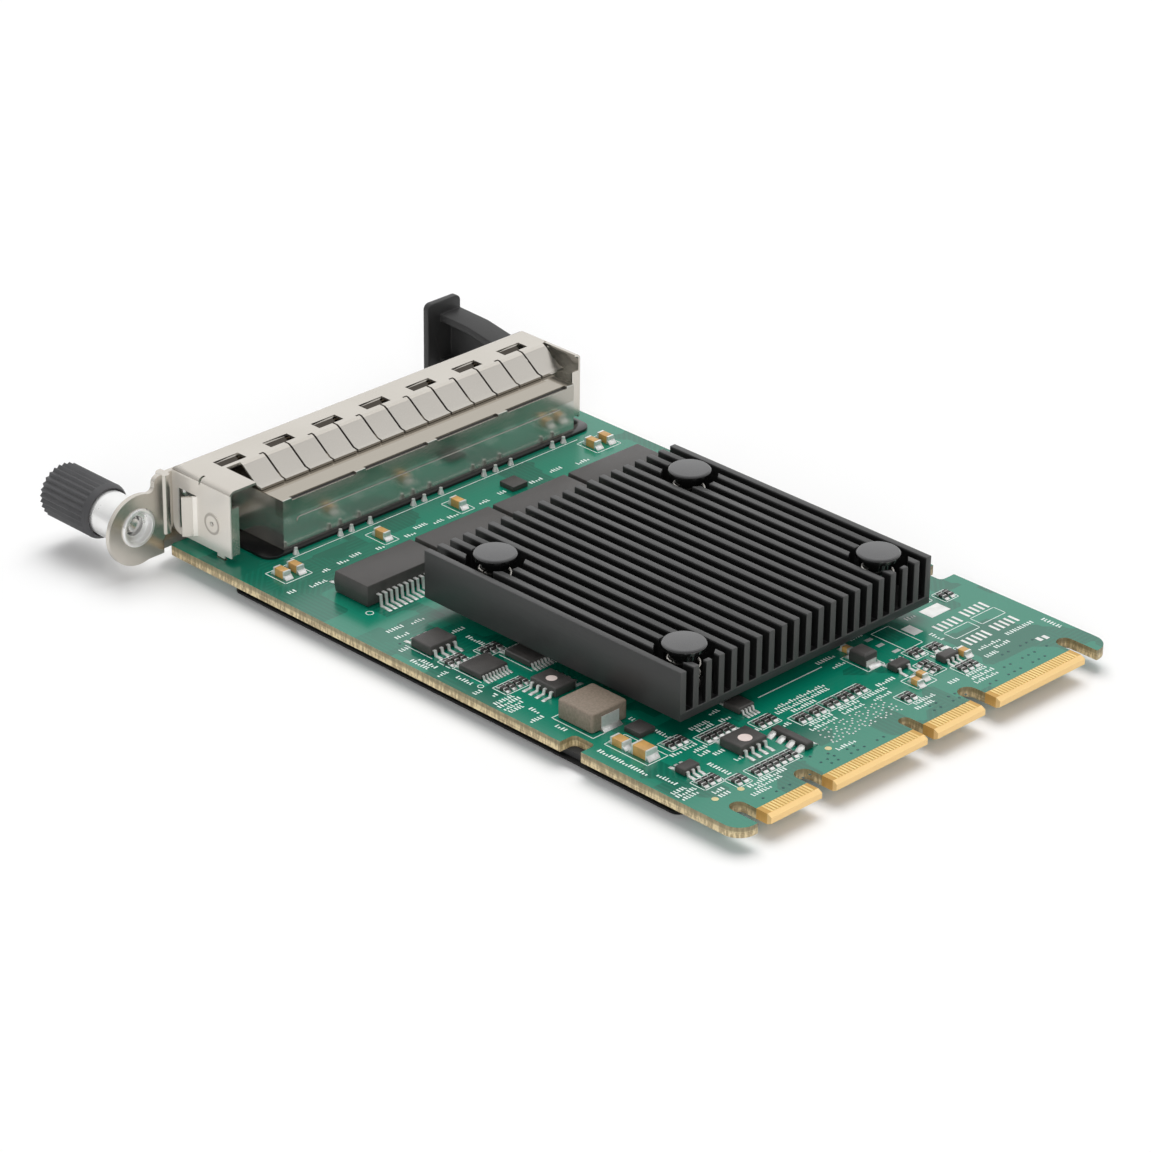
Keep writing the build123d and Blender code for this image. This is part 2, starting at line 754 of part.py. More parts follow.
def pull_tab():
    """Moulded pull tab: an end plate, a web between two curved flanges and a foot at the faceplate."""
    outer = -tab_x_outer
    inner = outer + tab_plate_width
    y_end = plate_front - tab_reach
    y_root = plate_front - tab_foot_thickness
    tab = block(outer, inner, y_end - tab_plate_thickness, y_end, top + tab_plate_bottom, top + tab_plate_top)
    tab = fillet(tab.edges().filter_by(Axis.Y), tab_plate_corner)
    low_edge = top + tab_plate_bottom + tab_plate_top - tab_flange_top
    high_edge = top + tab_flange_top
    t = tab_flange_thickness
    upper = [(y_end + share * (y_root - y_end), high_edge - drop) for share, drop in tab_flange_curve]
    lower = [(y_end + share * (y_root - y_end), low_edge + drop) for share, drop in tab_flange_curve]
    web_x = outer + tab_web_inset
    tab += profile_x(upper + lower[::-1], web_x, web_x + tab_web_thickness)
    for edge, inward in ((upper, -t), (lower, t)):
        band = edge + [(y, z + inward) for y, z in reversed(edge)]
        tab += profile_x(band, outer, outer + tab_flange_width)
    foot_low = top + tab_plate_bottom + tab_foot_margin
    foot_high = top + tab_plate_top - tab_foot_margin
    foot = block(outer, outer + tab_foot_width, y_root, plate_front, foot_low, foot_high)
    tab += fillet(foot.edges().filter_by(Axis.Y), tab_foot_corner)
    for height in tab_screw_heights:
        tab -= rod_y(-tab_screw_x, top + height, tab_screw_radius, plate_front - tab_screw_bite, plate_front)
    return tab


def pull_tab_screws():
    """Two small screws that hold hood, faceplate and pull tab together."""
    screws = []
    for height in tab_screw_heights:
        z = top + height
        head_y = plate_rear + hood_sheet
        head = rod_y(-tab_screw_x, z, tab_screw_head_radius, head_y, head_y + tab_screw_head_height)
        head_end = head_y + tab_screw_head_height
        head = chamfer(at(head.edges(), Axis.Y, head_end), head_chamfer)
        head += rod_y(-tab_screw_x, z, tab_screw_radius, plate_front - tab_screw_bite, head_y)
        wide = cross_length / 2
        thin = cross_width / 2
        x = -tab_screw_x
        cross = block(x - wide, x + wide, head_end - cross_depth, head_end, z - thin, z + thin)
        cross += block(x - thin, x + thin, head_end - cross_depth, head_end, z - wide, z + wide)
        screws.append(head - cross)
    return Compound(children=screws)


def bracket_rivets():
    """Two rivets that hold the hood's near flange to the faceplate."""
    rivets = []
    for height in rivet_heights:
        z = top + height
        inside = plate_rear + hood_sheet
        rivet = rod_y(rivet_x, z, rivet_radius, plate_front, inside)
        rivet += rod_y(rivet_x, z, rivet_head_radius, inside, inside + rivet_head_height)
        rivet += rod_y(rivet_x, z, rivet_head_radius, plate_front - rivet_head_height, plate_front)
        rivets.append(chamfer(at(rivet.edges(), Axis.Y, inside + rivet_head_height), head_chamfer))
    return Compound(children=rivets)


def screw_sleeve():
    """Turned aluminium sleeve, swaged into the ear, with a pocket for the spring."""
    pocket_rear = ear_front - sleeve_seat
    ring_rim = ear_rear + ring_height
    sleeve = rod_y(screw_x, screw_z, sleeve_radius, sleeve_front, ear_front)
    sleeve += rod_y(screw_x, screw_z, ring_radius, ear_front, ring_rim)
    sleeve = chamfer(at(sleeve.edges(), Axis.Y, ring_rim), ring_chamfer)
    sleeve -= rod_y(screw_x, screw_z, sleeve_pocket_radius, sleeve_front + sleeve_lip, pocket_rear)
    sleeve -= rod_y(screw_x, screw_z, sleeve_lip_radius, sleeve_front, sleeve_front + sleeve_lip)
    sleeve -= rod_y(screw_x, screw_z, screw_radius + running_gap, pocket_rear, ring_rim)
    sleeve -= rod_y(screw_x, screw_z, ring_recess_radius, ring_rim - ring_recess_depth, ring_rim)
    return sleeve


def captive_screw():
    """Steel screw with a stop collar inside the sleeve and a driver recess in its head."""
    head_front = knob_front
    shank_rear = screw_tip_y - screw_tip_length
    screw = rod_y(screw_x, screw_z, screw_head_radius, head_front, head_front + screw_head_height)
    screw += rod_y(screw_x, screw_z, screw_radius, head_front + screw_head_height, shank_rear)
    screw += rod_y(screw_x, screw_z, screw_tip_radius, shank_rear, screw_tip_y)
    collar_radius = sleeve_pocket_radius - running_gap
    screw += rod_y(screw_x, screw_z, collar_radius, sleeve_front + sleeve_lip, collar_rear)
    half = screw_recess_width / 2
    reach = screw_recess_length / 2
    y0, y1 = head_front, head_front + screw_recess_depth
    screw -= block(screw_x - reach, screw_x + reach, y0, y1, screw_z - half, screw_z + half)
    screw -= block(screw_x - half, screw_x + half, y0, y1, screw_z - reach, screw_z + reach)
    return screw


def spring_washer():
    """Thrust washer between the screw's collar and the spring."""
    y0 = collar_rear + washer_gap
    washer = rod_y(screw_x, screw_z, sleeve_pocket_radius - running_gap, y0, y0 + washer_thickness)
    return washer - rod_y(screw_x, screw_z, screw_radius + running_gap, y0, y0 + washer_thickness)


def coil(radius, wire, length, turns):
    """Return a compression spring along +Z from z = 0, its wire kept inside the length."""
    pitch = (length - wire) / turns
    path = Helix(pitch=pitch, height=length - wire, radius=radius)
    section = Plane(origin=path @ 0, z_dir=path % 0) * Rectangle(wire * 0.86, wire * 0.86)
    return Pos(0, 0, wire / 2) * sweep(section, path=path, is_frenet=True)


def screw_spring():
    """Compression spring that pushes the screw out of the sleeve."""
    y0 = collar_rear + washer_gap + washer_thickness
    y1 = ear_front - sleeve_seat
    radius = (screw_radius + sleeve_pocket_radius) / 2
    spring = coil(radius, spring_wire, y1 - y0, spring_turns)
    return Pos(screw_x, y0, screw_z) * Rot(-90, 0, 0) * spring


def thumbscrew_knob():
    """Moulded knob with lengthwise teeth, bored out to slide over the sleeve."""
    y0, y1 = knob_front, knob_base
    teeth_end = y1 - knob_collar
    points = []
    for index in range(knob_teeth):
        for share, radius in ((0.0, knob_radius - knob_tooth_depth), (0.5, knob_radius)):
            angle = 2 * pi * (index + share) / knob_teeth
            points.append((screw_x + radius * cos(angle), screw_z + radius * sin(angle)))
    knob = profile_y(points, y0, teeth_end)
    cone = Pos(screw_x, (teeth_end + y1) / 2, screw_z) * Rot(90, 0, 0)
    knob += cone * Cone(knob_radius - knob_end_taper, knob_radius, knob_collar)
    bore = sleeve_radius + knob_bore_clearance
    knob -= rod_y(screw_x, screw_z, bore, y0 + knob_front_wall, y1)
    knob -= rod_y(screw_x, screw_z, screw_head_radius, y0, y0 + screw_head_height)
    knob -= rod_y(screw_x, screw_z, screw_radius, y0, y1)
    return knob


def heatsink():
    """Black finned heatsink, its fins milled away in a round well at each push pin."""
    half = sink_size / 2
    y_mid = front + sink_y
    base_top = top + sink_base + sink_base_thickness
    sink = block(sink_x - half, sink_x + half, y_mid - half, y_mid + half, top + sink_base, base_top)
    pitch = (sink_size - fin_thickness) / (fin_count - 1)
    for index in range(fin_count):
        x = sink_x + half - index * pitch
        sink += block(x, x - fin_thickness, y_mid - half, y_mid + half, base_top, top + sink_top)
    for x, y in pin_places:
        sink -= rod_z(x, y, pin_well_radius, base_top, top + sink_top)
        sink -= rod_z(x, y, pin_shaft_radius + pin_hole_clearance, top + sink_base, base_top)
    return sink


def controller_chip():
    """Controller package under the heatsink: a substrate and a slightly smaller moulded top."""
    y = front + sink_y
    half = chip_size / 2
    step = top + chip_substrate
    substrate = block(sink_x - half, sink_x + half, y - half, y + half, top, step)
    half -= chip_mould_inset
    return substrate + block(sink_x - half, sink_x + half, y - half, y + half, step, top + chip_height)


def thermal_pad():
    """Soft pad between the controller and the heatsink."""
    y = front + sink_y
    half = pad_size / 2
    return block(sink_x - half, sink_x + half, y - half, y + half, top + chip_height, top + sink_base)


def push_pins():
    """Four split plastic pins, each a flat cap on a short head, a shaft and a barbed end."""
    pins = []
    cap_top = top + pin_cap_top
    cap_low = cap_top - pin_cap_height
    head_low = cap_low - pin_head_height
    for x, y in pin_places:
        cap = rod_z(x, y, pin_cap_radius, cap_low, cap_top)
        pin = chamfer(at(cap.edges(), Axis.Z, cap_top), pin_cap_chamfer)
        pin += rod_z(x, y, pin_head_radius, head_low, cap_low)
        pin += rod_z(x, y, pin_shaft_radius, bottom, head_low)
        barb = Cone(pin_barb_tip, pin_barb_radius, pin_barb_length)
        pin += Pos(x, y, bottom - pin_barb_length / 2) * barb
        half = pin_split / 2
        reach = pin_barb_radius + 0.1
        split_top = top - pin_split_margin
        pin -= block(x - half, x + half, y - reach, y + reach, bottom - pin_barb_length, split_top)
        pins.append(pin)
    return Compound(children=pins)


def push_pin_springs():
    """Springs that press the heatsink down, between the pin caps and its base."""
    low = top + sink_base + sink_base_thickness
    length = top + pin_cap_top - pin_cap_height - pin_head_height - low
    spring = coil(pin_spring_radius, pin_spring_wire, length, pin_spring_turns)
    return Compound(children=[Pos(x, y, low) * spring for x, y in pin_places])


def bottom_insulator():
    """Thin black plastic sheet under the board, with a clearance hole at each push pin."""
    y0 = front + insulator_front
    y1 = front + insulator_rear
    sheet = RectangleRounded(2 * insulator_half_width, y1 - y0, insulator_radius)
    insulator = Pos(0, (y0 + y1) / 2, insulator_bottom) * extrude(sheet, insulator_thickness)
    for x, y in pin_places:
        insulator -= rod_z(x, y, pin_barb_radius + 1.2, insulator_bottom, insulator_top)
    return insulator


def insulator_strips():
    """Foam adhesive strips that hold the insulator off the board's underside."""
    strips = []
    for side in (1, -1):
        for distance in insulator_strip_y:
            x = side * insulator_strip_x
            y = front + distance
            half_x = insulator_strip_width / 2
            half_y = insulator_strip_length / 2
            strips.append(block(x - half_x, x + half_x, y - half_y, y + half_y, insulator_top, bottom))
    return Compound(children=strips)


def gull_wing(x, y, face_x, face_y, reach, shoulder, width, rise):
    """Return one bent lead that leaves a body at (x, y): out, down, and a foot on the board."""
    t = lead_sheet
    knee = shoulder + lead_slope
    outline = [
        (0, rise), (shoulder, rise), (knee, t), (reach, t),
        (reach, 0), (knee - t, 0), (shoulder - t, rise - t), (0, rise - t),
    ]
    lead = profile_x(outline, -width / 2, width / 2)
    turn = {(0, 1): 0, (0, -1): 180, (1, 0): -90, (-1, 0): 90}[(face_x, face_y)]
    return Pos(x, y, top) * Rot(0, 0, turn) * lead


def magnetics_places():
    """Return the middle X of each magnetics module."""
    first = magnetics_first_x - magnetics_length / 2
    return [first - index * magnetics_pitch for index in range(magnetics_count)]


def magnetics():
    """Black moulded transformer modules in a row behind the jack, tapered from a parting rim."""
    y = front + magnetics_y
    low = top + chip_standoff
    high = top + magnetics_height
    rim_low = (low + high - magnetics_rim) / 2
    bodies = []
    for x in magnetics_places():
        outline = Rectangle(magnetics_length, magnetics_width)
        body = Pos(x, y, rim_low) * extrude(outline, magnetics_rim)
        upper = extrude(outline, high - rim_low - magnetics_rim, taper=magnetics_taper)
        lower = Rot(180, 0, 0) * extrude(outline, rim_low - low, taper=magnetics_taper)
        body += Pos(x, y, rim_low + magnetics_rim) * upper
        body += Pos(x, y, rim_low) * lower
        bodies.append(body)
    return Compound(children=bodies)


def magnetics_leads():
    """Tinned gull-wing leads along both long sides of each module."""
    leads = []
    rise = (chip_standoff + magnetics_height + lead_sheet) / 2
    for x in magnetics_places():
        for index in range(magnetics_lead_count):
            lead_x = x + (index - (magnetics_lead_count - 1) / 2) * magnetics_lead_pitch
            for face in (1, -1):
                y = front + magnetics_y + face * magnetics_width / 2
                leads.append(gull_wing(lead_x, y, 0, face, magnetics_lead_reach, magnetics_lead_shoulder,
                                       magnetics_lead_width, rise))
    return Compound(children=leads)


def logic_chips():
    """Small moulded chips, with and without leads."""
    bodies = []
    for x, d, sx, sy, height, *_ in lead_chips:
        y = front + d
        body = block(x - sx / 2, x + sx / 2, y - sy / 2, y + sy / 2, top + chip_standoff, top + height)
        bodies.append(chamfer(at(body.edges(), Axis.Z, top + height), chip_chamfer))
    for x, d, sx, sy, height in leadless_chips:
        y = front + d
        bodies.append(block(x - sx / 2, x + sx / 2, y - sy / 2, y + sy / 2, top, top + height))
    return Compound(children=bodies)


def logic_chip_leads():
    """Gull-wing leads of the small chips, on two opposite sides of each."""
    leads = []
    for x, d, sx, sy, height, count, pitch, reach, width, facing in lead_chips:
        rise = (chip_standoff + height + lead_sheet) / 2
        shoulder = reach / 4
        for index in range(count):
            offset = (index - (count - 1) / 2) * pitch
            for face in (1, -1):
                if facing == "y":
                    place = (x + offset, front + d + face * sy / 2, 0, face)
                else:
                    place = (x + face * sx / 2, front + d + offset, face, 0)
                leads.append(gull_wing(*place, reach, shoulder, width, rise))
    return Compound(children=leads)


def power_inductor():
    """Moulded power inductor with rounded corners."""
    y = front + inductor_y
    sketch = RectangleRounded(inductor_size, inductor_size, inductor_corner)
    body = extrude(sketch, inductor_height - inductor_lead_sheet)
    body = Pos(inductor_x, y, top + inductor_lead_sheet) * body
    return chamfer(at(body.edges(), Axis.Z, top + inductor_height), inductor_chamfer)


def inductor_terminals():
    """Two tinned strips folded up the inductor's ends and under its body."""
    terminals = []
    t = inductor_lead_sheet
    x0 = inductor_x - inductor_lead_width / 2
    x1 = inductor_x + inductor_lead_width / 2
    for face in (1, -1):
        y = front + inductor_y + face * inductor_size / 2
        riser = block(x0, x1, y, y + face * t, top, top + inductor_lead_height)
        foot = block(x0, x1, y - face * inductor_lead_foot, y + face * t, top, top + t)
        terminals.append(riser + foot)
    return Compound(children=terminals)


def power_diode():
    """Moulded diode body, its top edges chamfered."""
    height = diode_height - chip_standoff
    body = Box(diode_width, diode_length, height)
    body = Pos(diode_x, front + diode_y, top + chip_standoff + height / 2) * body
    return chamfer(at(body.edges(), Axis.Z, top + diode_height), 2 * chip_chamfer)


def diode_straps():
    """Tinned straps at both ends of the power diode."""
    straps = []
    for face in (1, -1):
        y = front + diode_y + face * diode_length / 2
        x0 = diode_x - diode_strap_width / 2
        x1 = diode_x + diode_strap_width / 2
        riser = block(x0, x1, y, y + face * lead_sheet, top, top + diode_strap_height)
        straps.append(riser + block(x0, x1, y, y + face * diode_strap_reach, top, top + lead_sheet))
    return Compound(children=straps)


def ceramic_capacitors():
    """Ceramic bodies of the chip capacitors, between their metal ends."""
    bodies = []
    for x, d, sx, sy, height in chip_capacitors:
        y = front + d
        reach = sy / 2 - capacitor_end
        bodies.append(block(x - sx / 2, x + sx / 2, y - reach, y + reach, top, top + height))
    return Compound(children=bodies)


def capacitor_ends():
    """Tinned end caps of the chip capacitors."""
    ends = []
    for x, d, sx, sy, height in chip_capacitors:
        for face in (1, -1):
            y1 = front + d + face * sy / 2
            y0 = y1 - face * capacitor_end
            ends.append(block(x - sx / 2, x + sx / 2, y0, y1, top, top + height))
    return Compound(children=ends)


def chip_resistors():
    """Rows of very small chip resistors, each lying across its row."""
    bodies = []
    for x, d, count, run in resistor_rows:
        for index in range(count):
            offset = (index - (count - 1) / 2) * resistor_pitch
            if run == "x":
                place = Pos(x + offset, front + d, top + resistor_height / 2)
                bodies.append(place * Box(resistor_width, resistor_length, resistor_height))
            else:
                place = Pos(x, front + d + offset, top + resistor_height / 2)
                bodies.append(place * Box(resistor_length, resistor_width, resistor_height))
    return Compound(children=bodies)


parts = {
    "circuit_board": circuit_board,
    "edge_contacts": edge_contacts,
    "faceplate": faceplate,
    "emi_hood": emi_hood,
    "jack_housing": jack_housing,
    "jack_shield": jack_shield_can,
    "jack_wires": jack_wires,
    "jack_leds": jack_leds,
    "jack_tails": jack_tails,
    "pull_tab": pull_tab,
    "pull_tab_screws": pull_tab_screws,
    "bracket_rivets": bracket_rivets,
    "screw_sleeve": screw_sleeve,
    "captive_screw": captive_screw,
    "spring_washer": spring_washer,
    "screw_spring": screw_spring,
    "thumbscrew_knob": thumbscrew_knob,
    "heatsink": heatsink,
    "controller_chip": controller_chip,
    "thermal_pad": thermal_pad,
    "push_pins": push_pins,
    "push_pin_springs": push_pin_springs,
    "bottom_insulator": bottom_insulator,
    "insulator_strips": insulator_strips,
    "magnetics": magnetics,
    "magnetics_leads": magnetics_leads,
    "logic_chips": logic_chips,
    "logic_chip_leads": logic_chip_leads,
    "power_inductor": power_inductor,
    "inductor_terminals": inductor_terminals,
    "power_diode": power_diode,
    "diode_straps": diode_straps,
    "ceramic_capacitors": ceramic_capacitors,
    "capacitor_ends": capacitor_ends,
    "chip_resistors": chip_resistors,
}

os.makedirs("parts", exist_ok=True)
for name, make in parts.items():
    export_step(make(), f"parts/{name}.step")
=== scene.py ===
"""Looks of a mezzanine network card: board, four-port front, heatsink and captive thumbscrew.

Metres, in the card's own frame: +Y is the way it plugs in, +Z comes out of the component side and
+X points to the thumbscrew. The origin is the middle of the connector tongue's leading edge.
"""
import json
from math import cos, pi, radians, sin

import bpy
from mathutils import Matrix, Vector

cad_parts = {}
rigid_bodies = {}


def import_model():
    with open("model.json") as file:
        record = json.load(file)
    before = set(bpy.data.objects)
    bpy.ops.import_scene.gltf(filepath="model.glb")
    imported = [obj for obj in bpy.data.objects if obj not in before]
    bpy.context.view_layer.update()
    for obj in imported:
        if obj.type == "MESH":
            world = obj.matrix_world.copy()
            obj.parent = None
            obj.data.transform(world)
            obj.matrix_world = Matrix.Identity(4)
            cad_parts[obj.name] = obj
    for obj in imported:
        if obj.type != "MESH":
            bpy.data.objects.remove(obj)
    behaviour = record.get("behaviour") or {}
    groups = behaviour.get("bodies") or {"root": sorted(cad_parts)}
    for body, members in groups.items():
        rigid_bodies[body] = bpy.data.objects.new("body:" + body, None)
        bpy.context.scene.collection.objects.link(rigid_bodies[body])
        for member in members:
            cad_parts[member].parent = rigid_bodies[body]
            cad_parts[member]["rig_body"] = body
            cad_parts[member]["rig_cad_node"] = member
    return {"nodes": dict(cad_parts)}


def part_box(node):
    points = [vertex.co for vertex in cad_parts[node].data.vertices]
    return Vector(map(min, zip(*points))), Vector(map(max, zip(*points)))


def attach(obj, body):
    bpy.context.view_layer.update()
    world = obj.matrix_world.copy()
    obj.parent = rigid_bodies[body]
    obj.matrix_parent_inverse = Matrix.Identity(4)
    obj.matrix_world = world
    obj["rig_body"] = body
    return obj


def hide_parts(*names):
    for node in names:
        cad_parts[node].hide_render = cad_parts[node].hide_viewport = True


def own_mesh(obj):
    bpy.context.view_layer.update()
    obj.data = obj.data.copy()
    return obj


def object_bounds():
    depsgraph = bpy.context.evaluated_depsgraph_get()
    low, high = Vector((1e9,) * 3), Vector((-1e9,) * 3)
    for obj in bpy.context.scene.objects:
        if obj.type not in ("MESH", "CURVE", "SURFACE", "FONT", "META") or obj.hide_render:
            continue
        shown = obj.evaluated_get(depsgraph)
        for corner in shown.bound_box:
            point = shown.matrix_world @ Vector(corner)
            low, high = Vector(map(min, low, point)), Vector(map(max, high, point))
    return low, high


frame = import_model()
cad_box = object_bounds()
cad = frame["nodes"]
mm = 0.001
board_top = 0.785 * mm
board_front = -115.0 * mm


# Circuit board: glass-epoxy laminate under a green lacquer, routed to shape. Copper planes, fine
# buses and small holes show through the lacquer, the cut edge shows the glass layers, and the rim of
# each tongue is gold plated.
mask_over_copper = (0.001, 0.205, 0.126, 1)
mask_over_laminate = (0.0005, 0.130, 0.080, 1)
mask_over_track = (0.004, 0.235, 0.145, 1)
hole_shade = (0.001, 0.050, 0.055, 1)
laminate_cream = (0.78, 0.64, 0.37, 1)
laminate_brown = (0.22, 0.155, 0.07, 1)
laminate_olive = (0.15, 0.125, 0.055, 1)
tongue_gold = (0.70, 0.40, 0.10, 1)
rim_gold = (0.95, 0.66, 0.29, 1)
tongue_front_rim = 0.78
tongue_bare = 2.75


def add_node(tree, kind, **settings):
    """Add a node to a tree and set its plain properties."""
    node = tree.nodes.new(kind)
    for name, value in settings.items():
        setattr(node, name, value)
    return node


def new_material(name):
    """Make a material and return it with its tree and its Principled shader."""
    material = bpy.data.materials.new(name)
    material.use_nodes = True
    tree = material.node_tree
    return material, tree, tree.nodes["Principled BSDF"]


def new_group(name, inputs, outputs):
    """Make a shader node group with its sockets; return its tree, input node and output node."""
    tree = bpy.data.node_groups.new(name, "ShaderNodeTree")
    for label, kind, start in inputs:
        tree.interface.new_socket(label, in_out="INPUT", socket_type=kind).default_value = start
    for label, kind in outputs:
        tree.interface.new_socket(label, in_out="OUTPUT", socket_type=kind)
    return tree, tree.nodes.new("NodeGroupInput"), tree.nodes.new("NodeGroupOutput")


def math_node(tree, operation, a, b=0.0, c=0.0):
    """Add a Math node fed by sockets or numbers and return its result."""
    node = add_node(tree, "ShaderNodeMath", operation=operation)
    for place, value in enumerate((a, b, c)):
        if isinstance(value, (int, float)):
            node.inputs[place].default_value = value
        else:
            tree.links.new(value, node.inputs[place])
    return node.outputs[0]


def mix_colours(tree, share, first, second):
    """Add a colour Mix node fed by sockets or plain colours and return its result."""
    node = add_node(tree, "ShaderNodeMix", data_type="RGBA")
    for place, value in ((0, share), (6, first), (7, second)):
        if isinstance(value, (int, float, tuple)):
            node.inputs[place].default_value = value
        else:
            tree.links.new(value, node.inputs[place])
    return node.outputs[2]


def ramp(tree, value, low, high):
    """Add a smooth step from 0 at low to 1 at high, and return its result."""
    node = add_node(tree, "ShaderNodeMapRange", interpolation_type="SMOOTHSTEP")
    node.inputs["From Min"].default_value = low
    node.inputs["From Max"].default_value = high
    tree.links.new(value, node.inputs["Value"])
    return node.outputs[0]


def object_points(tree, turn=0.0):
    """Object coordinates in millimetres, through a Mapping node that may turn them about Z."""
    source = add_node(tree, "ShaderNodeTexCoord")
    mapping = add_node(tree, "ShaderNodeMapping")
    mapping.inputs["Scale"].default_value = (1000, 1000, 1000)
    mapping.inputs["Rotation"].default_value = (0, 0, turn)
    tree.links.new(source.outputs["Object"], mapping.inputs["Vector"])
    return mapping.outputs[0]


def make_fine_grain():
    """Group for fine surface grain, stretched along any axis, as a height from 0 to 1."""
    tree, given, result = new_group(
        "fine_grain",
        [("Grains per metre", "NodeSocketFloat", 3000.0), ("Stretch", "NodeSocketVector", (1, 1, 1))],
        [("Height", "NodeSocketFloat")],
    )
    source = add_node(tree, "ShaderNodeTexCoord")
    stretched = add_node(tree, "ShaderNodeVectorMath", operation="MULTIPLY")
    noise = add_node(tree, "ShaderNodeTexNoise")
    noise.inputs["Detail"].default_value = 3
    tree.links.new(source.outputs["Object"], stretched.inputs[0])
    tree.links.new(given.outputs["Stretch"], stretched.inputs[1])
    tree.links.new(stretched.outputs[0], noise.inputs["Vector"])
    tree.links.new(given.outputs["Grains per metre"], noise.inputs["Scale"])
    tree.links.new(noise.outputs[0], result.inputs["Height"])
    return tree


fine_grain = make_fine_grain()


def place_group(tree, group, **values):
    """Place a node group in a material and set its inputs by name, with _ for spaces."""
    node = add_node(tree, "ShaderNodeGroup", node_tree=group)
    for name, value in values.items():
        node.inputs[name.replace("_", " ")].default_value = value
    return node


def paint(piece, material):
    """Give a piece one material in place of whatever it has."""
    piece.data.materials.clear()
    piece.data.materials.append(material)


board_material, tree, shader = new_material("lacquered_board")
points = object_points(tree)
patch = add_node(tree, "ShaderNodeTexVoronoi", feature="F1", distance="MANHATTAN")
patch.inputs["Scale"].default_value = 0.085
tree.links.new(points, patch.inputs["Vector"])
patch_parts = add_node(tree, "ShaderNodeSeparateColor")
tree.links.new(patch.outputs["Color"], patch_parts.inputs[0])
bus_tracks = 0.0
for turn, low, high in ((0.0, 0.0, 0.34), (pi / 2, 0.34, 0.58), (pi / 4, 0.58, 0.75)):
    bands = add_node(tree, "ShaderNodeTexWave", wave_type="BANDS", bands_direction="X")
    bands.inputs["Scale"].default_value = 0.40
    tree.links.new(object_points(tree, turn=turn), bands.inputs["Vector"])
    above = math_node(tree, "GREATER_THAN", patch_parts.outputs[0], low)
    below = math_node(tree, "LESS_THAN", patch_parts.outputs[0], high)
    inside = math_node(tree, "MULTIPLY", above, below)
    lines = math_node(tree, "MULTIPLY", ramp(tree, bands.outputs["Fac"], 0.45, 0.75), inside)
    bus_tracks = math_node(tree, "MAXIMUM", lines, bus_tracks)
plane_cells = add_node(tree, "ShaderNodeTexVoronoi", feature="F1", distance="CHEBYCHEV")
plane_cells.inputs["Scale"].default_value = 0.15
tree.links.new(points, plane_cells.inputs["Vector"])
plane_parts = add_node(tree, "ShaderNodeSeparateColor")
tree.links.new(plane_cells.outputs["Color"], plane_parts.inputs[0])
plane = ramp(tree, plane_parts.outputs[1], 0.36, 0.40)
ground = mix_colours(tree, plane, mask_over_laminate, mask_over_copper)
tracked = mix_colours(tree, math_node(tree, "MULTIPLY", bus_tracks, 0.22), ground, mask_over_track)
holes = add_node(tree, "ShaderNodeTexVoronoi", feature="F1")
holes.inputs["Scale"].default_value = 0.55
tree.links.new(points, holes.inputs["Vector"])
hole_parts = add_node(tree, "ShaderNodeSeparateColor")
tree.links.new(holes.outputs["Color"], hole_parts.inputs[0])
some_holes = math_node(tree, "GREATER_THAN", hole_parts.outputs[2], 0.62)
hole_middles = math_node(tree, "MULTIPLY", ramp(tree, holes.outputs["Distance"], 0.15, 0.10), some_holes)
with_holes = mix_colours(tree, math_node(tree, "MULTIPLY", hole_middles, 0.75), tracked, hole_shade)
facing = add_node(tree, "ShaderNodeTexCoord")
facing_parts = add_node(tree, "ShaderNodeSeparateXYZ")
tree.links.new(facing.outputs["Normal"], facing_parts.inputs[0])
upright = math_node(tree, "ABSOLUTE", facing_parts.outputs["Z"])
on_edge = math_node(tree, "LESS_THAN", upright, 0.97)
place_parts = add_node(tree, "ShaderNodeSeparateXYZ")
tree.links.new(points, place_parts.inputs[0])
strands = place_group(tree, fine_grain, Grains_per_metre=2700.0, Stretch=(1, 1, 0.28))
layers = place_group(tree, fine_grain, Grains_per_metre=900.0, Stretch=(0.15, 0.15, 6.0))
strand_shade = ramp(tree, strands.outputs["Height"], 0.40, 0.58)
layer_shade = ramp(tree, layers.outputs["Height"], 0.42, 0.62)
strand_share = math_node(tree, "MULTIPLY", strand_shade, 0.62)
edge_shade = math_node(tree, "MULTIPLY_ADD", layer_shade, 0.25, strand_share)
edge_colour = mix_colours(tree, edge_shade, laminate_cream, laminate_brown)
under_lacquer = math_node(tree, "MULTIPLY", ramp(tree, place_parts.outputs["Z"], -0.10, 0.30), 0.72)
edge_colour = mix_colours(tree, under_lacquer, edge_colour, laminate_olive)
across = math_node(tree, "ABSOLUTE", place_parts.outputs["X"])
on_tongues = math_node(
    tree, "MULTIPLY", math_node(tree, "GREATER_THAN", place_parts.outputs["Y"], -tongue_bare),
    math_node(tree, "LESS_THAN", across, 32.4))
at_front_rim = math_node(tree, "GREATER_THAN", place_parts.outputs["Y"], -tongue_front_rim)
rim = math_node(tree, "MULTIPLY", on_tongues, at_front_rim)
board_colour = mix_colours(tree, on_edge, with_holes, edge_colour)
board_colour = mix_colours(tree, math_node(tree, "MULTIPLY", on_tongues, 0.92), board_colour, tongue_gold)
board_colour = mix_colours(tree, rim, board_colour, rim_gold)
tree.links.new(board_colour, shader.inputs["Base Color"])
tree.links.new(math_node(tree, "MULTIPLY", on_tongues, 0.5), shader.inputs["Metallic"])
shader.inputs["Specular IOR Level"].default_value = 0.8
relief = math_node(tree, "MAXIMUM", bus_tracks, plane)
board_bump = add_node(tree, "ShaderNodeBump")
board_bump.inputs["Strength"].default_value = 0.10
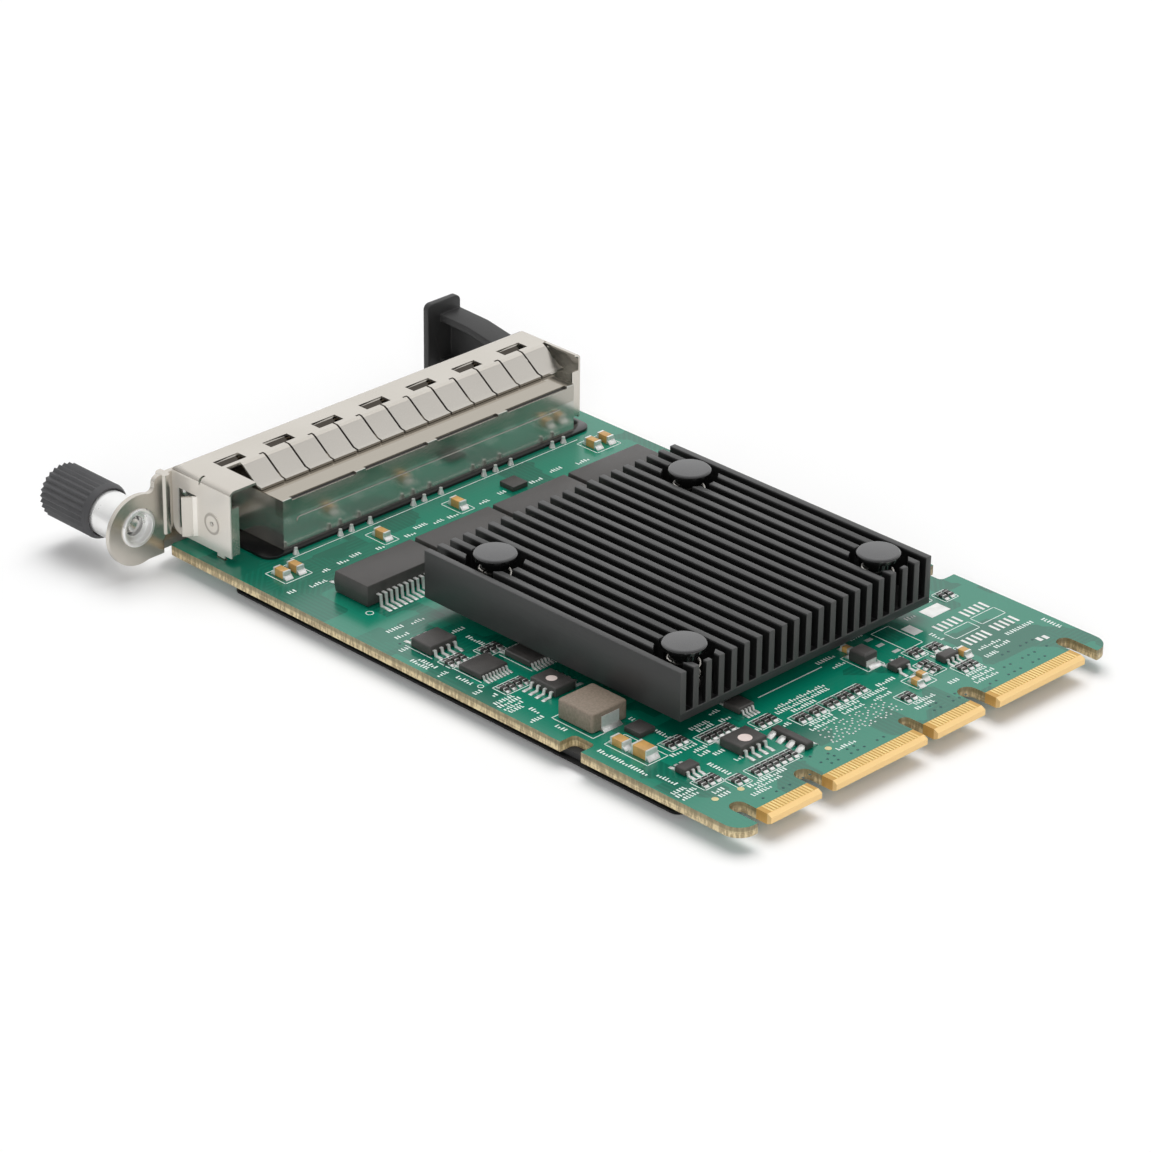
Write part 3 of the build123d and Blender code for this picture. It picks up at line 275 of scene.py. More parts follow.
board_bump.inputs["Distance"].default_value = 0.00003
tree.links.new(relief, board_bump.inputs["Height"])
tree.links.new(board_bump.outputs[0], shader.inputs["Normal"])
bare = math_node(tree, "MAXIMUM", on_edge, on_tongues)
tree.links.new(math_node(tree, "MULTIPLY_ADD", bare, 0.28, 0.22), shader.inputs["Roughness"])
paint(cad["circuit_board"], board_material)


# Gold contacts: strips of copper at a close pitch on both faces of the tongues. They are plated with
# nickel and then with hard gold.
def make_colour_drift():
    """Group for slow variation between two tones of one colour."""
    tree, given, result = new_group(
        "colour_drift",
        [("Tone one", "NodeSocketColor", (0.5, 0.5, 0.5, 1)),
         ("Tone two", "NodeSocketColor", (0.4, 0.4, 0.4, 1)),
         ("Patches per metre", "NodeSocketFloat", 150.0)],
        [("Colour", "NodeSocketColor"), ("Share", "NodeSocketFloat")],
    )
    source = add_node(tree, "ShaderNodeTexCoord")
    noise = add_node(tree, "ShaderNodeTexNoise")
    noise.inputs["Detail"].default_value = 4
    tree.links.new(source.outputs["Object"], noise.inputs["Vector"])
    tree.links.new(given.outputs["Patches per metre"], noise.inputs["Scale"])
    share = ramp(tree, noise.outputs[0], 0.3, 0.7)
    mixed = mix_colours(tree, share, given.outputs["Tone one"], given.outputs["Tone two"])
    tree.links.new(mixed, result.inputs["Colour"])
    tree.links.new(share, result.inputs["Share"])
    return tree


colour_drift = make_colour_drift()


def surface_material(name, tone_one, tone_two, roughness, metal=0.0, grain=3000.0, stretch=(1, 1, 1),
                     bump=0.05, patches=150.0, spread=0.08, specular=0.5):
    """Material with a drifting tone, fine grain in its bump, and roughness that varies with both."""
    material, tree, shader = new_material(name)
    drift = place_group(tree, colour_drift, Tone_one=tone_one, Tone_two=tone_two, Patches_per_metre=patches)
    grains = place_group(tree, fine_grain, Grains_per_metre=grain, Stretch=stretch)
    height = add_node(tree, "ShaderNodeBump")
    height.inputs["Strength"].default_value = bump
    height.inputs["Distance"].default_value = 0.0001
    both = math_node(tree, "ADD", drift.outputs["Share"], grains.outputs["Height"])
    spreading = math_node(tree, "MULTIPLY_ADD", both, spread, roughness - spread)
    tree.links.new(grains.outputs["Height"], height.inputs["Height"])
    tree.links.new(height.outputs[0], shader.inputs["Normal"])
    tree.links.new(drift.outputs["Colour"], shader.inputs["Base Color"])
    tree.links.new(spreading, shader.inputs["Roughness"])
    shader.inputs["Metallic"].default_value = metal
    shader.inputs["Specular IOR Level"].default_value = specular
    return material


gold_material = surface_material(
    "hard_gold", (0.96, 0.74, 0.33, 1), (0.92, 0.66, 0.27, 1), 0.28, metal=1.0, grain=9000.0, bump=0.02,
    patches=700.0)
paint(cad["edge_contacts"], gold_material)


# Printed marks: white ink on the lacquer, as outlines round the components and rows of plain bars.
# Places are in millimetres from the card's middle and from the board's front edge.
ink_thickness = 0.015 * mm
ink_width = 0.13
ink_material = surface_material(
    "white_ink", (0.88, 0.94, 0.91, 1), (0.74, 0.84, 0.79, 1), 0.55, grain=12000.0, bump=0.03, patches=2500.0)
resistor_pitch = 1.2
frame_past_resistors = 1.7
frame_across_resistors = 3.0
# The middle of each row of resistors, their count, and the axis that they follow.
resistor_rows = (
    (32.5, 55.0, 3, "x"), (26.6, 56.0, 3, "x"), (31.6, 65.8, 4, "x"), (27.1, 92.6, 3, "x"),
    (21.1, 94.7, 5, "x"), (14.0, 96.9, 3, "x"), (9.7, 99.8, 2, "x"), (6.9, 99.8, 2, "x"),
    (3.9, 99.7, 2, "x"), (1.1, 99.7, 2, "x"), (-1.7, 99.6, 2, "x"), (21.6, 105.6, 7, "x"),
    (31.4, 102.9, 3, "x"), (28.3, 105.5, 2, "x"), (-5.1, 105.8, 2, "x"), (-14.0, 102.1, 3, "y"),
    (-17.9, 105.5, 3, "x"), (-15.6, 97.9, 2, "x"), (-18.8, 98.8, 2, "x"), (-31.9, 89.2, 2, "x"),
)
ink_frames = (
    (31.5, 18.95, 5.3, 4.6), (13.9, 19.65, 2.9, 4.6), (-1.2, 19.85, 2.9, 4.6), (-31.75, 18.95, 5.3, 4.6),
    (32.2, 90.3, 4.1, 8.3), (-8.6, 94.4, 3.6, 5.4), (-17.2, 93.1, 3.7, 6.7), (-25.6, 97.9, 5.3, 2.4),
    (-31.7, 97.5, 5.2, 2.4), (-10.0, 103.6, 4.1, 3.4), (-27.3, 88.0, 4.6, 2.0),
)
ink_lines = (
    (-30.3, 28.3, 15.60, 15.75), (-3.2, 9.7, 91.50, 91.70), (34.3, 34.45, 46.9, 52.4),
    (34.1, 34.25, 56.6, 62.2), (26.7, 26.85, 58.0, 64.6), (34.1, 34.25, 76.3, 84.1),
    (31.9, 34.2, 84.0, 84.15), (25.2, 34.2, 76.0, 76.15),
)
ink_rings = (
    (35.0, 62.9, 0.42), (31.4, 36.2, 0.55), (15.6, 36.2, 0.45), (17.9, 96.0, 0.35), (-20.9, 100.9, 0.35),
)
ink_rows = (
    (35.9, 87.0, 35.9, 96.2), (34.9, 97.2, 34.9, 100.6), (37.0, 101.9, 34.6, 101.9),
    (37.2, 102.9, 34.0, 102.9), (37.2, 103.9, 34.2, 103.9), (32.9, 105.5, 31.2, 105.5),
    (33.0, 106.7, 31.2, 106.7), (28.4, 107.6, 21.0, 107.6), (28.2, 108.5, 23.0, 108.5),
    (29.6, 109.5, 26.0, 109.5), (27.4, 94.6, 25.2, 94.6), (26.9, 96.0, 24.5, 96.0),
    (27.0, 97.2, 25.0, 97.2), (27.8, 99.7, 27.8, 103.7), (29.9, 94.7, 28.2, 94.7), (10.2, 95.3, 0.6, 95.3),
    (11.0, 96.4, 0.8, 96.4), (9.0, 97.5, 4.4, 97.5), (10.2, 101.7, 5.8, 101.7), (11.0, 102.8, 6.0, 102.8),
    (22.8, 91.4, 19.2, 91.4), (22.4, 92.4, 19.4, 92.4), (17.9, 90.2, 15.9, 90.2), (-3.5, 90.5, -7.2, 90.5),
    (-16.0, 107.2, -19.9, 107.2), (-15.8, 108.3, -20.4, 108.3), (-15.4, 109.4, -20.1, 109.4),
    (-29.4, 103.0, -35.2, 103.0), (-25.2, 104.5, -28.3, 104.5), (-23.0, 103.3, -27.5, 103.3),
    (-4.7, 107.6, -8.6, 107.6), (-3.8, 108.7, -7.3, 108.7), (4.2, 101.6, 0.2, 101.6),
    (4.4, 102.7, 0.4, 102.7), (-0.8, 101.7, -5.2, 101.7), (-4.8, 100.6, -8.3, 100.6),
    (-1.4, 103.0, -5.0, 103.0), (35.9, 47.6, 34.8, 47.6), (36.7, 50.8, 36.7, 54.2),
    (35.7, 51.4, 35.7, 54.6), (35.4, 58.8, 35.4, 61.6), (37.0, 67.9, 33.4, 67.9), (37.2, 68.9, 33.2, 68.9),
    (37.2, 69.9, 33.8, 69.9), (37.0, 70.9, 34.4, 70.9), (34.4, 72.2, 34.4, 74.0), (37.0, 74.9, 34.6, 74.9),
    (35.2, 78.2, 35.2, 80.2), (8.4, 20.8, 6.2, 20.8), (11.2, 21.9, 9.4, 21.9), (5.2, 21.5, 3.6, 21.5),
    (21.4, 21.2, 19.5, 21.2), (24.2, 21.6, 22.5, 21.6), (27.6, 21.9, 26.2, 21.9), (31.9, 24.3, 29.0, 24.3),
    (35.6, 23.6, 34.2, 23.6), (17.0, 22.0, 15.9, 22.0), (-4.2, 21.4, -6.0, 21.4), (-8.6, 21.0, -10.0, 21.0),
    (-14.6, 21.6, -17.2, 21.6), (-19.4, 20.9, -21.6, 20.9), (-24.4, 21.7, -26.8, 21.7),
    (33.4, 42.2, 30.6, 42.2), (33.8, 44.4, 31.2, 44.4), (29.2, 42.6, 27.0, 42.6), (26.5, 83.6, 26.5, 91.2),
    (29.5, 56.9, 27.4, 56.9), (35.6, 66.0, 34.6, 66.0), (24.6, 67.0, 24.6, 69.6),
    (-36.6, 103.6, -36.6, 106.8), (-22.4, 90.2, -24.2, 90.2), (-12.4, 97.2, -13.6, 97.2),
    (-22.2, 105.4, -24.4, 105.4), (16.9, 97.7, 15.6, 97.7), (12.9, 99.4, 11.5, 99.4),
    (24.4, 101.4, 23.2, 101.4), (25.4, 98.4, 23.6, 98.4), (18.2, 92.6, 16.4, 92.6),
    (37.2, 56.6, 35.4, 56.6), (37.0, 63.8, 35.8, 63.8), (26.2, 51.0, 26.2, 54.4), (27.0, 48.6, 24.4, 48.6),
    (12.4, 108.9, 9.2, 108.9), (-12.6, 107.0, -14.6, 107.0), (-21.6, 95.6, -21.6, 97.8),
    (-4.2, 92.8, -6.4, 92.8), (-12.0, 88.9, -14.6, 88.9), (2.4, 21.7, 0.8, 21.7),
)
bar_pitch = 0.53


def deselect():
    """Deselect every object."""
    bpy.ops.object.select_all(action="DESELECT")


def plate(name, x0, x1, y0, y1, z0, z1):
    """Add a plain block between two corners, to be shaped or joined further."""
    deselect()
    bpy.ops.mesh.primitive_cube_add(size=1, location=((x0 + x1) / 2, (y0 + y1) / 2, (z0 + z1) / 2))
    piece = bpy.context.object
    piece.name = name
    piece.scale = (abs(x1 - x0), abs(y1 - y0), abs(z1 - z0))
    bpy.ops.object.transform_apply(location=True, rotation=True, scale=True)
    return piece


def join(name, pieces):
    """Join pieces into one object with that name."""
    deselect()
    for piece in pieces:
        piece.select_set(True)
    bpy.context.view_layer.objects.active = pieces[0]
    bpy.ops.object.join()
    bpy.context.object.name = name
    return bpy.context.object


def copies_at(piece, places):
    """Copy a piece modelled at the origin to each place, each with its own mesh; remove the first."""
    made = []
    for x, y, z, turn in places:
        copy = piece.copy()
        copy.data = piece.data.copy()
        copy.data.transform(Matrix.Translation((x, y, z)) @ Matrix.Rotation(turn, 4, "Z"))
        bpy.context.scene.collection.objects.link(copy)
        made.append(copy)
    bpy.data.objects.remove(piece)
    return made


def ink_line(x0, x1, y0, y1):
    """Add one printed line on the board."""
    return plate("ink_line", x0 * mm, x1 * mm, board_front + y0 * mm, board_front + y1 * mm,
                 board_top, board_top + ink_thickness)


def ink_frame(x, y, wide, long):
    """Add the four lines of a printed outline."""
    x0, x1, y0, y1 = x - wide / 2, x + wide / 2, y - long / 2, y + long / 2
    return [ink_line(x0, x1, y0, y0 + ink_width), ink_line(x0, x1, y1 - ink_width, y1),
            ink_line(x0, x0 + ink_width, y0, y1), ink_line(x1 - ink_width, x1, y0, y1)]


def ink_ring(x, y, radius):
    """Add a small printed ring."""
    deselect()
    bpy.ops.mesh.primitive_torus_add(
        major_segments=20, minor_segments=4, major_radius=radius * mm, minor_radius=ink_width / 2 * mm)
    ring = bpy.context.object
    ring.scale = (1, 1, 0.2)
    bpy.ops.object.transform_apply(location=True, rotation=True, scale=True)
    ring.data.transform(Matrix.Translation((x * mm, board_front + y * mm, board_top + ink_thickness / 2)))
    return ring


marks = [ink_line(*line) for line in ink_lines]
for ink_place in ink_frames:
    marks.extend(ink_frame(*ink_place))
for x, y, count, run in resistor_rows:
    along = (count - 1) * resistor_pitch + frame_past_resistors
    size = (along, frame_across_resistors) if run == "x" else (frame_across_resistors, along)
    marks.extend(ink_frame(x, y, *size))
marks.extend(ink_ring(*ring) for ring in ink_rings)
bar_places = ([], [], [])
for number, (x0, y0, x1, y1) in enumerate(ink_rows):
    along = Vector((x1 - x0, y1 - y0, 0))
    turn = pi if abs(along.x) > abs(along.y) else pi / 2
    for index in range(int(along.length / bar_pitch) + 1):
        kind = (index * index + 2 * index + number) % 7
        at = Vector((x0, y0, 0)) + along.normalized() * (index * bar_pitch)
        bar_places[kind % 3].append((at.x * mm, board_front + at.y * mm, board_top, turn))
tall_bar = plate("tall_bar", -0.13 * mm, 0.13 * mm, -0.38 * mm, 0.38 * mm, 0, ink_thickness)
short_bar = plate("short_bar", -0.13 * mm, 0.13 * mm, -0.38 * mm, 0.05 * mm, 0, ink_thickness)
foot_bar = join("foot_bar", [
    plate("stem", -0.16 * mm, 0.02 * mm, -0.38 * mm, 0.38 * mm, 0, ink_thickness),
    plate("foot", 0.02 * mm, 0.19 * mm, -0.38 * mm, -0.20 * mm, 0, ink_thickness)])
for bar, places in zip((tall_bar, short_bar, foot_bar), bar_places):
    marks.extend(copies_at(bar, places))
printed_marks = join("printed_marks", marks)
paint(printed_marks, ink_material)
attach(printed_marks, "card")


# Bare pads: tinned copper left open in the lacquer where no part is fitted, rows of vias filled with
# dark lacquer, and round gold fiducials.
pad_thickness = 0.03 * mm
pad_groups = ((-31.7, 94.9, 5), (-25.6, 95.2, 5), (-31.6, 100.6, 5), (-25.4, 100.8, 5))
group_pitch = 1.05
group_pad = (0.48, 2.0)
wide_pads = (
    (-27.4, 91.2, 4.0, 2.6), (-20.5, 93.0, 1.9, 2.6), (-13.9, 92.9, 1.3, 0.7), (-14.3, 95.6, 1.3, 0.7),
    (-13.9, 90.7, 1.3, 0.7), (-32.6, 107.4, 0.7, 1.1), (-31.5, 107.2, 0.7, 1.1), (-20.2, 99.9, 0.8, 1.0),
)
test_points = (5, 22)
test_corner = (11.4, 103.9)
test_pitch = (0.64, 0.85)
test_shift = 0.3
test_scatter = (0.16, 0.20)
test_pad = (0.26, 0.28)
via_rows = (
    (-5.2, 110.7, -13.6, 110.7), (-5.6, 109.5, -11.9, 109.5), (5.4, 110.9, 15.9, 110.9),
    (10.2, 109.8, 17.0, 109.8), (-16.5, 111.0, -30.2, 111.0), (-21.6, 109.2, -31.4, 109.2),
    (20.2, 111.0, 29.8, 111.0), (-8.2, 112.3, -11.5, 112.3), (17.8, 107.2, 13.9, 109.0),
    (-24.2, 106.6, -32.8, 106.6), (34.6, 46.0, 34.6, 60.6), (21.5, 77.2, 21.5, 88.0),
)
via_pitch = 1.3
via_radius = 0.21
fiducials = ((34.05, 106.8), (29.65, 107.3), (13.2, 107.9))
fiducial_radius = 0.5


def pad(x, y, wide, long):
    """Add one bare pad on the board."""
    return plate("pad", (x - wide / 2) * mm, (x + wide / 2) * mm, board_front + (y - long / 2) * mm,
                 board_front + (y + long / 2) * mm, board_top, board_top + pad_thickness)


pads = []
for x, y, count in pad_groups:
    pads.extend(pad(x + (index - (count - 1) / 2) * group_pitch, y, *group_pad) for index in range(count))
pads.extend(pad(*wide_pad) for wide_pad in wide_pads)
for row in range(test_points[0]):
    for column in range(test_points[1]):
        if (column * 7 + row * 3) % 5 == 0:
            continue
        x = test_corner[0] - column * test_pitch[0] - (row % 2) * test_shift
        y = test_corner[1] + row * test_pitch[1]
        stray_x = test_scatter[0] * sin(column * 5.1 + row * 2.3)
        stray_y = test_scatter[1] * cos(column * 3.7 + row * 4.1)
        pads.append(pad(x + stray_x, y + stray_y, *test_pad))
bare_pads = join("bare_pads", pads)
rounded_pads = bare_pads.modifiers.new("soft_edge", "BEVEL")
rounded_pads.width = 0.02 * mm
rounded_pads.segments = 1
bpy.ops.object.modifier_apply(modifier="soft_edge")
tinned = surface_material(
    "tinned_metal", (0.90, 0.90, 0.88, 1), (0.78, 0.78, 0.76, 1), 0.40, metal=0.55, grain=9000.0, bump=0.10,
    patches=900.0)
paint(bare_pads, tinned)
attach(bare_pads, "card")

deselect()
bpy.ops.mesh.primitive_cylinder_add(vertices=8, radius=via_radius * mm, depth=ink_thickness)
via_places = []
for x0, y0, x1, y1 in via_rows:
    run = Vector((x1 - x0, y1 - y0, 0))
    for index in range(int(run.length / via_pitch) + 1):
        if index % 4 != 2:
            at = Vector((x0, y0, 0)) + run.normalized() * (index * via_pitch)
            via_places.append((at.x * mm, board_front + at.y * mm, board_top + ink_thickness / 2, 0))
filled_vias = join("filled_vias", copies_at(bpy.context.object, via_places))
via_lacquer = surface_material(
    "via_lacquer", (0.002, 0.045, 0.050, 1), (0.003, 0.065, 0.062, 1), 0.4, grain=9000.0, bump=0.05,
    patches=900.0)
paint(filled_vias, via_lacquer)
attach(filled_vias, "card")


def round_spot(x, y, z, radius, thickness, around):
    """Add one thin round spot, its middle and radius in millimetres but for the height."""
    deselect()
    bpy.ops.mesh.primitive_cylinder_add(vertices=around, radius=radius * mm, depth=thickness)
    spot = bpy.context.object
    spot.data.transform(Matrix.Translation((x * mm, board_front + y * mm, z)))
    return spot


pad_middle = board_top + pad_thickness / 2
fiducial_dots = join("fiducial_dots", [
    round_spot(x, y, pad_middle, fiducial_radius, pad_thickness, 20) for x, y in fiducials])
pale_gold = surface_material(
    "pale_gold", (0.84, 0.74, 0.42, 1), (0.74, 0.62, 0.34, 1), 0.4, metal=0.6, grain=9000.0, bump=0.05,
    patches=900.0)
paint(fiducial_dots, pale_gold)
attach(fiducial_dots, "card")


# Heatsink: extruded aluminium, cut to a square, its fin ends milled and the whole anodised black.
# It sits on the thermal pad, held by the push pins. Painted highlights make the fin tops and ends paler, and
# painted shade darkens the gaps between the fins.
# Colours of the painted highlights on the fin tops and ends and of the painted shade between the fins.
fin_top_highlight_tone = (0.050, 0.050, 0.050, 1)
fin_end_highlight_tone = (0.062, 0.061, 0.060, 1)
fin_gap_shade_tone = (0.004, 0.004, 0.004, 1)
anodised_black = surface_material(
    "black_anodised", (0.026, 0.026, 0.026, 1), (0.033, 0.033, 0.033, 1), 0.42, metal=0.0, grain=2500.0,
    stretch=(1, 0.06, 1), bump=0.18, patches=90.0, specular=0.5)


def inside_box(tree, limits, share=1.0):
    """Share of a colour inside a box and none outside, its limits in millimetres along X, Y and Z."""
    place = add_node(tree, "ShaderNodeSeparateXYZ")
    tree.links.new(object_points(tree), place.inputs[0])
    for axis, (low_end, high_end) in zip("XYZ", limits):
        for operation, limit in (("GREATER_THAN", low_end), ("LESS_THAN", high_end)):
            inside = math_node(tree, operation, place.outputs[axis], limit)
            share = math_node(tree, "MULTIPLY", inside, share)
    return share


def tint_where(material, share, colour):
    """Mix a colour into a material's own by a share."""
    tree = material.node_tree
    base = tree.nodes["Principled BSDF"].inputs["Base Color"]
    tree.links.new(mix_colours(tree, share, base.links[0].from_socket, colour), base)


def stand_in(node, name):
    """Stand a merged copy of a CAD node in its place and leave it in edit mode, all of it selected."""
    source = cad[node]
    piece = source.copy()
    piece.data = source.data.copy()
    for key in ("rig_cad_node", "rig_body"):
        del piece[key]
    piece.parent = None
    piece.name = name
    bpy.context.scene.collection.objects.link(piece)
    deselect()
    piece.select_set(True)
    bpy.context.view_layer.objects.active = piece
    bpy.ops.object.mode_set(mode="EDIT")
    bpy.ops.mesh.select_all(action="SELECT")
    bpy.ops.mesh.remove_doubles(threshold=1e-6)
    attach(piece, source["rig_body"])
    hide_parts(node)
    return piece


def softened_copy(node, name, width, segments=2, angle=35, smooth=35):
    """Stand a copy of a solid node in its place with its sharp edges rounded."""
    piece = stand_in(node, name)
    bpy.ops.mesh.dissolve_limited(angle_limit=radians(0.5))
    bpy.ops.object.mode_set(mode="OBJECT")
    rounding = piece.modifiers.new("rounding", "BEVEL")
    rounding.width = width
    rounding.segments = segments
    rounding.limit_method = "ANGLE"
    rounding.angle_limit = radians(angle)
    rounding.use_clamp_overlap = True
    bpy.ops.object.modifier_apply(modifier="rounding")
    bpy.ops.object.shade_smooth_by_angle(angle=radians(smooth))
    return piece


sink_tree = anodised_black.node_tree
# Painted highlights on the fin tops and ends, painted shade in the gaps between the fins.
fin_top_highlight = inside_box(sink_tree, ((-26, 26), (-75, -22), (10.46, 10.7)))
fin_end_highlight = inside_box(sink_tree, ((-26, 26), (-23.12, -22), (4.2, 10.7)))
shade_between_fins = inside_box(sink_tree, ((-25.1, 25.3), (-73.7, -23.2), (4.0, 10.3)))
tint_where(anodised_black, fin_top_highlight, fin_top_highlight_tone)
tint_where(anodised_black, fin_end_highlight, fin_end_highlight_tone)
tint_where(anodised_black, shade_between_fins, fin_gap_shade_tone)
heatsink = softened_copy("heatsink", "heatsink_block", 0.10 * mm)
paint(heatsink, anodised_black)


# Thermal pad and controller: a moulded chip package soldered to the board under the heatsink, and a
# soft grey silicone pad that the heatsink presses on it.
pad_material = surface_material(
    "soft_pad", (0.42, 0.44, 0.47, 1), (0.36, 0.38, 0.41, 1), 0.8, grain=5000.0, bump=0.3)
paint(cad["thermal_pad"], pad_material)
moulded_black = surface_material(
    "moulded_package", (0.046, 0.043, 0.041, 1), (0.060, 0.056, 0.053, 1), 0.42, grain=14000.0, bump=0.25,
    patches=500.0, specular=0.5)
controller = softened_copy("controller_chip", "controller_package", 0.15 * mm)
paint(controller, moulded_black)


# Push pins: four pins of moulded black nylon, split and barbed so that they snap in below the board.
# Each has a spring of round steel wire under its cap.
painted_shade_nylon = (0.006, 0.006, 0.006, 1)
pin_cap_height = 0.14
nylon_black = surface_material(
    "black_nylon", (0.046, 0.046, 0.048, 1), (0.056, 0.056, 0.058, 1), 0.16, grain=6000.0, bump=0.05,
    specular=1.0)
pin_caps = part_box("push_pins")[1].z / mm
# Painted shade darkens the pins below their caps.
shade_below_caps = inside_box(nylon_black.node_tree, ((-40, 40), (-100, 0), (-10, pin_caps - pin_cap_height)))
tint_where(nylon_black, shade_below_caps, painted_shade_nylon)
pins = softened_copy("push_pins", "push_pin_set", 0.10 * mm, segments=3, smooth=40)
paint(pins, nylon_black)
spring_steel = surface_material(
    "spring_steel", (0.50, 0.48, 0.45, 1), (0.40, 0.38, 0.35, 1), 0.22, metal=1.0, grain=8000.0, bump=0.03)
pin_coil_radius = 2.3 * mm
pin_coil_wire = 0.45 * mm
pin_spacing = (19.65 * mm, 18.55 * mm)


def coil(name, wire, radius, length, turns):
    """Wind a round-wire coil along Z from the origin, its ends closed."""
    deselect()
    bpy.ops.mesh.primitive_circle_add(
        vertices=10, radius=wire / 2, location=(radius, 0, wire / 2), rotation=(pi / 2, 0, 0))
    piece = bpy.context.object
    piece.name = name
    bpy.ops.object.transform_apply(location=True, rotation=True, scale=True)
    winding = piece.modifiers.new("winding", "SCREW")
    winding.axis = "Z"
    winding.angle = 2 * pi
    winding.screw_offset = (length - wire) / turns
    winding.iterations = turns
    winding.steps = 24
    winding.render_steps = 24
    winding.use_normal_calculate = True
    bpy.ops.object.modifier_apply(modifier="winding")
    bpy.ops.object.mode_set(mode="EDIT")
    bpy.ops.mesh.select_all(action="SELECT")
    bpy.ops.mesh.remove_doubles(threshold=1e-6)
    bpy.ops.mesh.fill_holes(sides=12)
    bpy.ops.mesh.normals_make_consistent(inside=False)
    bpy.ops.object.mode_set(mode="OBJECT")
    bpy.ops.object.shade_smooth_by_angle(angle=radians(50))
    return piece


pin_low, pin_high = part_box("push_pin_springs")
pin_middle = (pin_low + pin_high) / 2
pin_coil = coil("pin_coil", pin_coil_wire, pin_coil_radius, pin_high.z - pin_low.z, 3)
corners = [(pin_middle.x + sx * pin_spacing[0], pin_middle.y + sy * pin_spacing[1], pin_low.z, 0)
           for sx in (1, -1) for sy in (1, -1)]
pin_coils = join("pin_coils", copies_at(pin_coil, corners))
paint(pin_coils, spring_steel)
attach(pin_coils, "card")
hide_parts("push_pin_springs")


# Magnetics modules: four moulded transformer packages behind the ports, soldered by gull-wing leads.
# Their leads, the chips' leads and the parts' ends are tinned.
magnetics = softened_copy("magnetics", "magnetics_packages", 0.12 * mm)
paint(magnetics, moulded_black)
tinned_nodes = (
    "magnetics_leads", "logic_chip_leads", "capacitor_ends", "jack_tails", "inductor_terminals",
    "diode_straps",
)
for node in tinned_nodes:
    paint(cad[node], tinned)


# Small chips: moulded packages on bent leads, soldered to the board. Two of them have a white printed
# dot at pin one.
chips = softened_copy("logic_chips", "logic_chip_packages", 0.06 * mm)
paint(chips, moulded_black)
chip_top = board_top + 1.5 * mm
dot_places = ((28.2, 69.9, 0.80), (21.1, 99.9, 1.0))
dot_thickness = 0.02 * mm
dot_middle = chip_top + 0.006 * mm
pin_one_dots = join("pin_one_dots", [
    round_spot(x, y, dot_middle, radius, dot_thickness, 28) for x, y, radius in dot_places])
dot_ink = surface_material(
    "dot_ink", (0.80, 0.69, 0.65, 1), (0.72, 0.60, 0.56, 1), 0.5, grain=9000.0, bump=0.05, patches=900.0)
paint(pin_one_dots, dot_ink)
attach(pin_one_dots, "card")


# Passive parts: ceramic capacitors, rows of small resistors, a power inductor pressed from iron powder
# and a moulded power diode, all soldered to the board.
ceramic = surface_material(
    "capacitor_ceramic", (0.66, 0.38, 0.12, 1), (0.50, 0.29, 0.10, 1), 0.36, grain=9000.0, bump=0.08,
    patches=600.0)
capacitors = softened_copy("ceramic_capacitors", "capacitor_bodies", 0.05 * mm)
paint(capacitors, ceramic)
resistor_black = surface_material(
    "resistor_body", (0.022, 0.020, 0.020, 1), (0.060, 0.055, 0.052, 1), 0.4, grain=9000.0, bump=0.05,
    patches=400.0)
paint(cad["chip_resistors"], resistor_black)
ferrite = surface_material(
    "pressed_iron_powder", (0.255, 0.205, 0.160, 1), (0.200, 0.160, 0.122, 1), 0.42, grain=5200.0, bump=0.5,
    patches=2600.0)
inductor = softened_copy("power_inductor", "inductor_block", 0.12 * mm)
paint(inductor, ferrite)
diode = softened_copy("power_diode", "diode_block", 0.08 * mm)
paint(diode, moulded_black)


# Solder: bright fillets of reflowed tin alloy that climb the ends of the resistors, capacitors and
# leads. A fillet is a wedge that covers the end and slopes down to its pad.
solder_metal = surface_material(
    "bright_solder", (0.95, 0.95, 0.93, 1), (0.82, 0.82, 0.80, 1), 0.42, metal=0.85, grain=5200.0, bump=0.35,
    patches=1500.0)
# The middle of each capacitor, its width, length and height.
chip_capacitors = (
    (32.8, 18.95, 1.25, 2.4, 1.25), (30.2, 18.95, 1.25, 2.4, 1.25), (13.9, 19.65, 1.25, 2.4, 1.25),
    (-1.2, 19.85, 1.25, 2.4, 1.25), (-30.4, 18.95, 1.25, 2.4, 1.25), (-33.1, 18.95, 1.25, 2.4, 1.25),
    (32.4, 92.0, 2.0, 3.0, 1.5), (32.7, 87.9, 1.6, 2.5, 1.1), (-9.0, 104.0, 1.0, 1.8, 0.9),
    (-10.9, 103.2, 1.0, 1.8, 0.9), (-9.1, 90.9, 1.0, 1.6, 0.8), (-20.3, 102.8, 1.2, 1.8, 0.9),
)
# The middle of each chip with leads, its size, the leads on a side, their pitch, reach and width, and
# the axis that they point along.
lead_chips = (
    (31.6, 49.8, 5.0, 4.0, 4, 1.27, 1.6, 0.45, "y"), (31.3, 59.5, 5.2, 4.4, 8, 0.62, 1.1, 0.28, "y"),
    (24.2, 61.2, 4.4, 5.0, 7, 0.62, 1.1, 0.28, "y"), (28.0, 70.0, 3.9, 5.0, 4, 1.27, 1.6, 0.45, "x"),
    (31.3, 99.0, 2.9, 1.8, 3, 1.0, 1.1, 0.42, "y"), (20.9, 99.4, 5.0, 4.0, 4, 1.27, 1.6, 0.45, "y"),
    (13.7, 91.7, 3.0, 3.0, 4, 0.65, 1.2, 0.3, "y"), (15.2, 103.1, 1.3, 6.6, 4, 1.75, 0.7, 0.7, "x"),
    (-10.7, 99.2, 2.9, 1.7, 2, 1.9, 1.3, 0.42, "y"), (-17.6, 102.1, 2.9, 1.7, 3, 0.95, 1.1, 0.38, "y"),
)
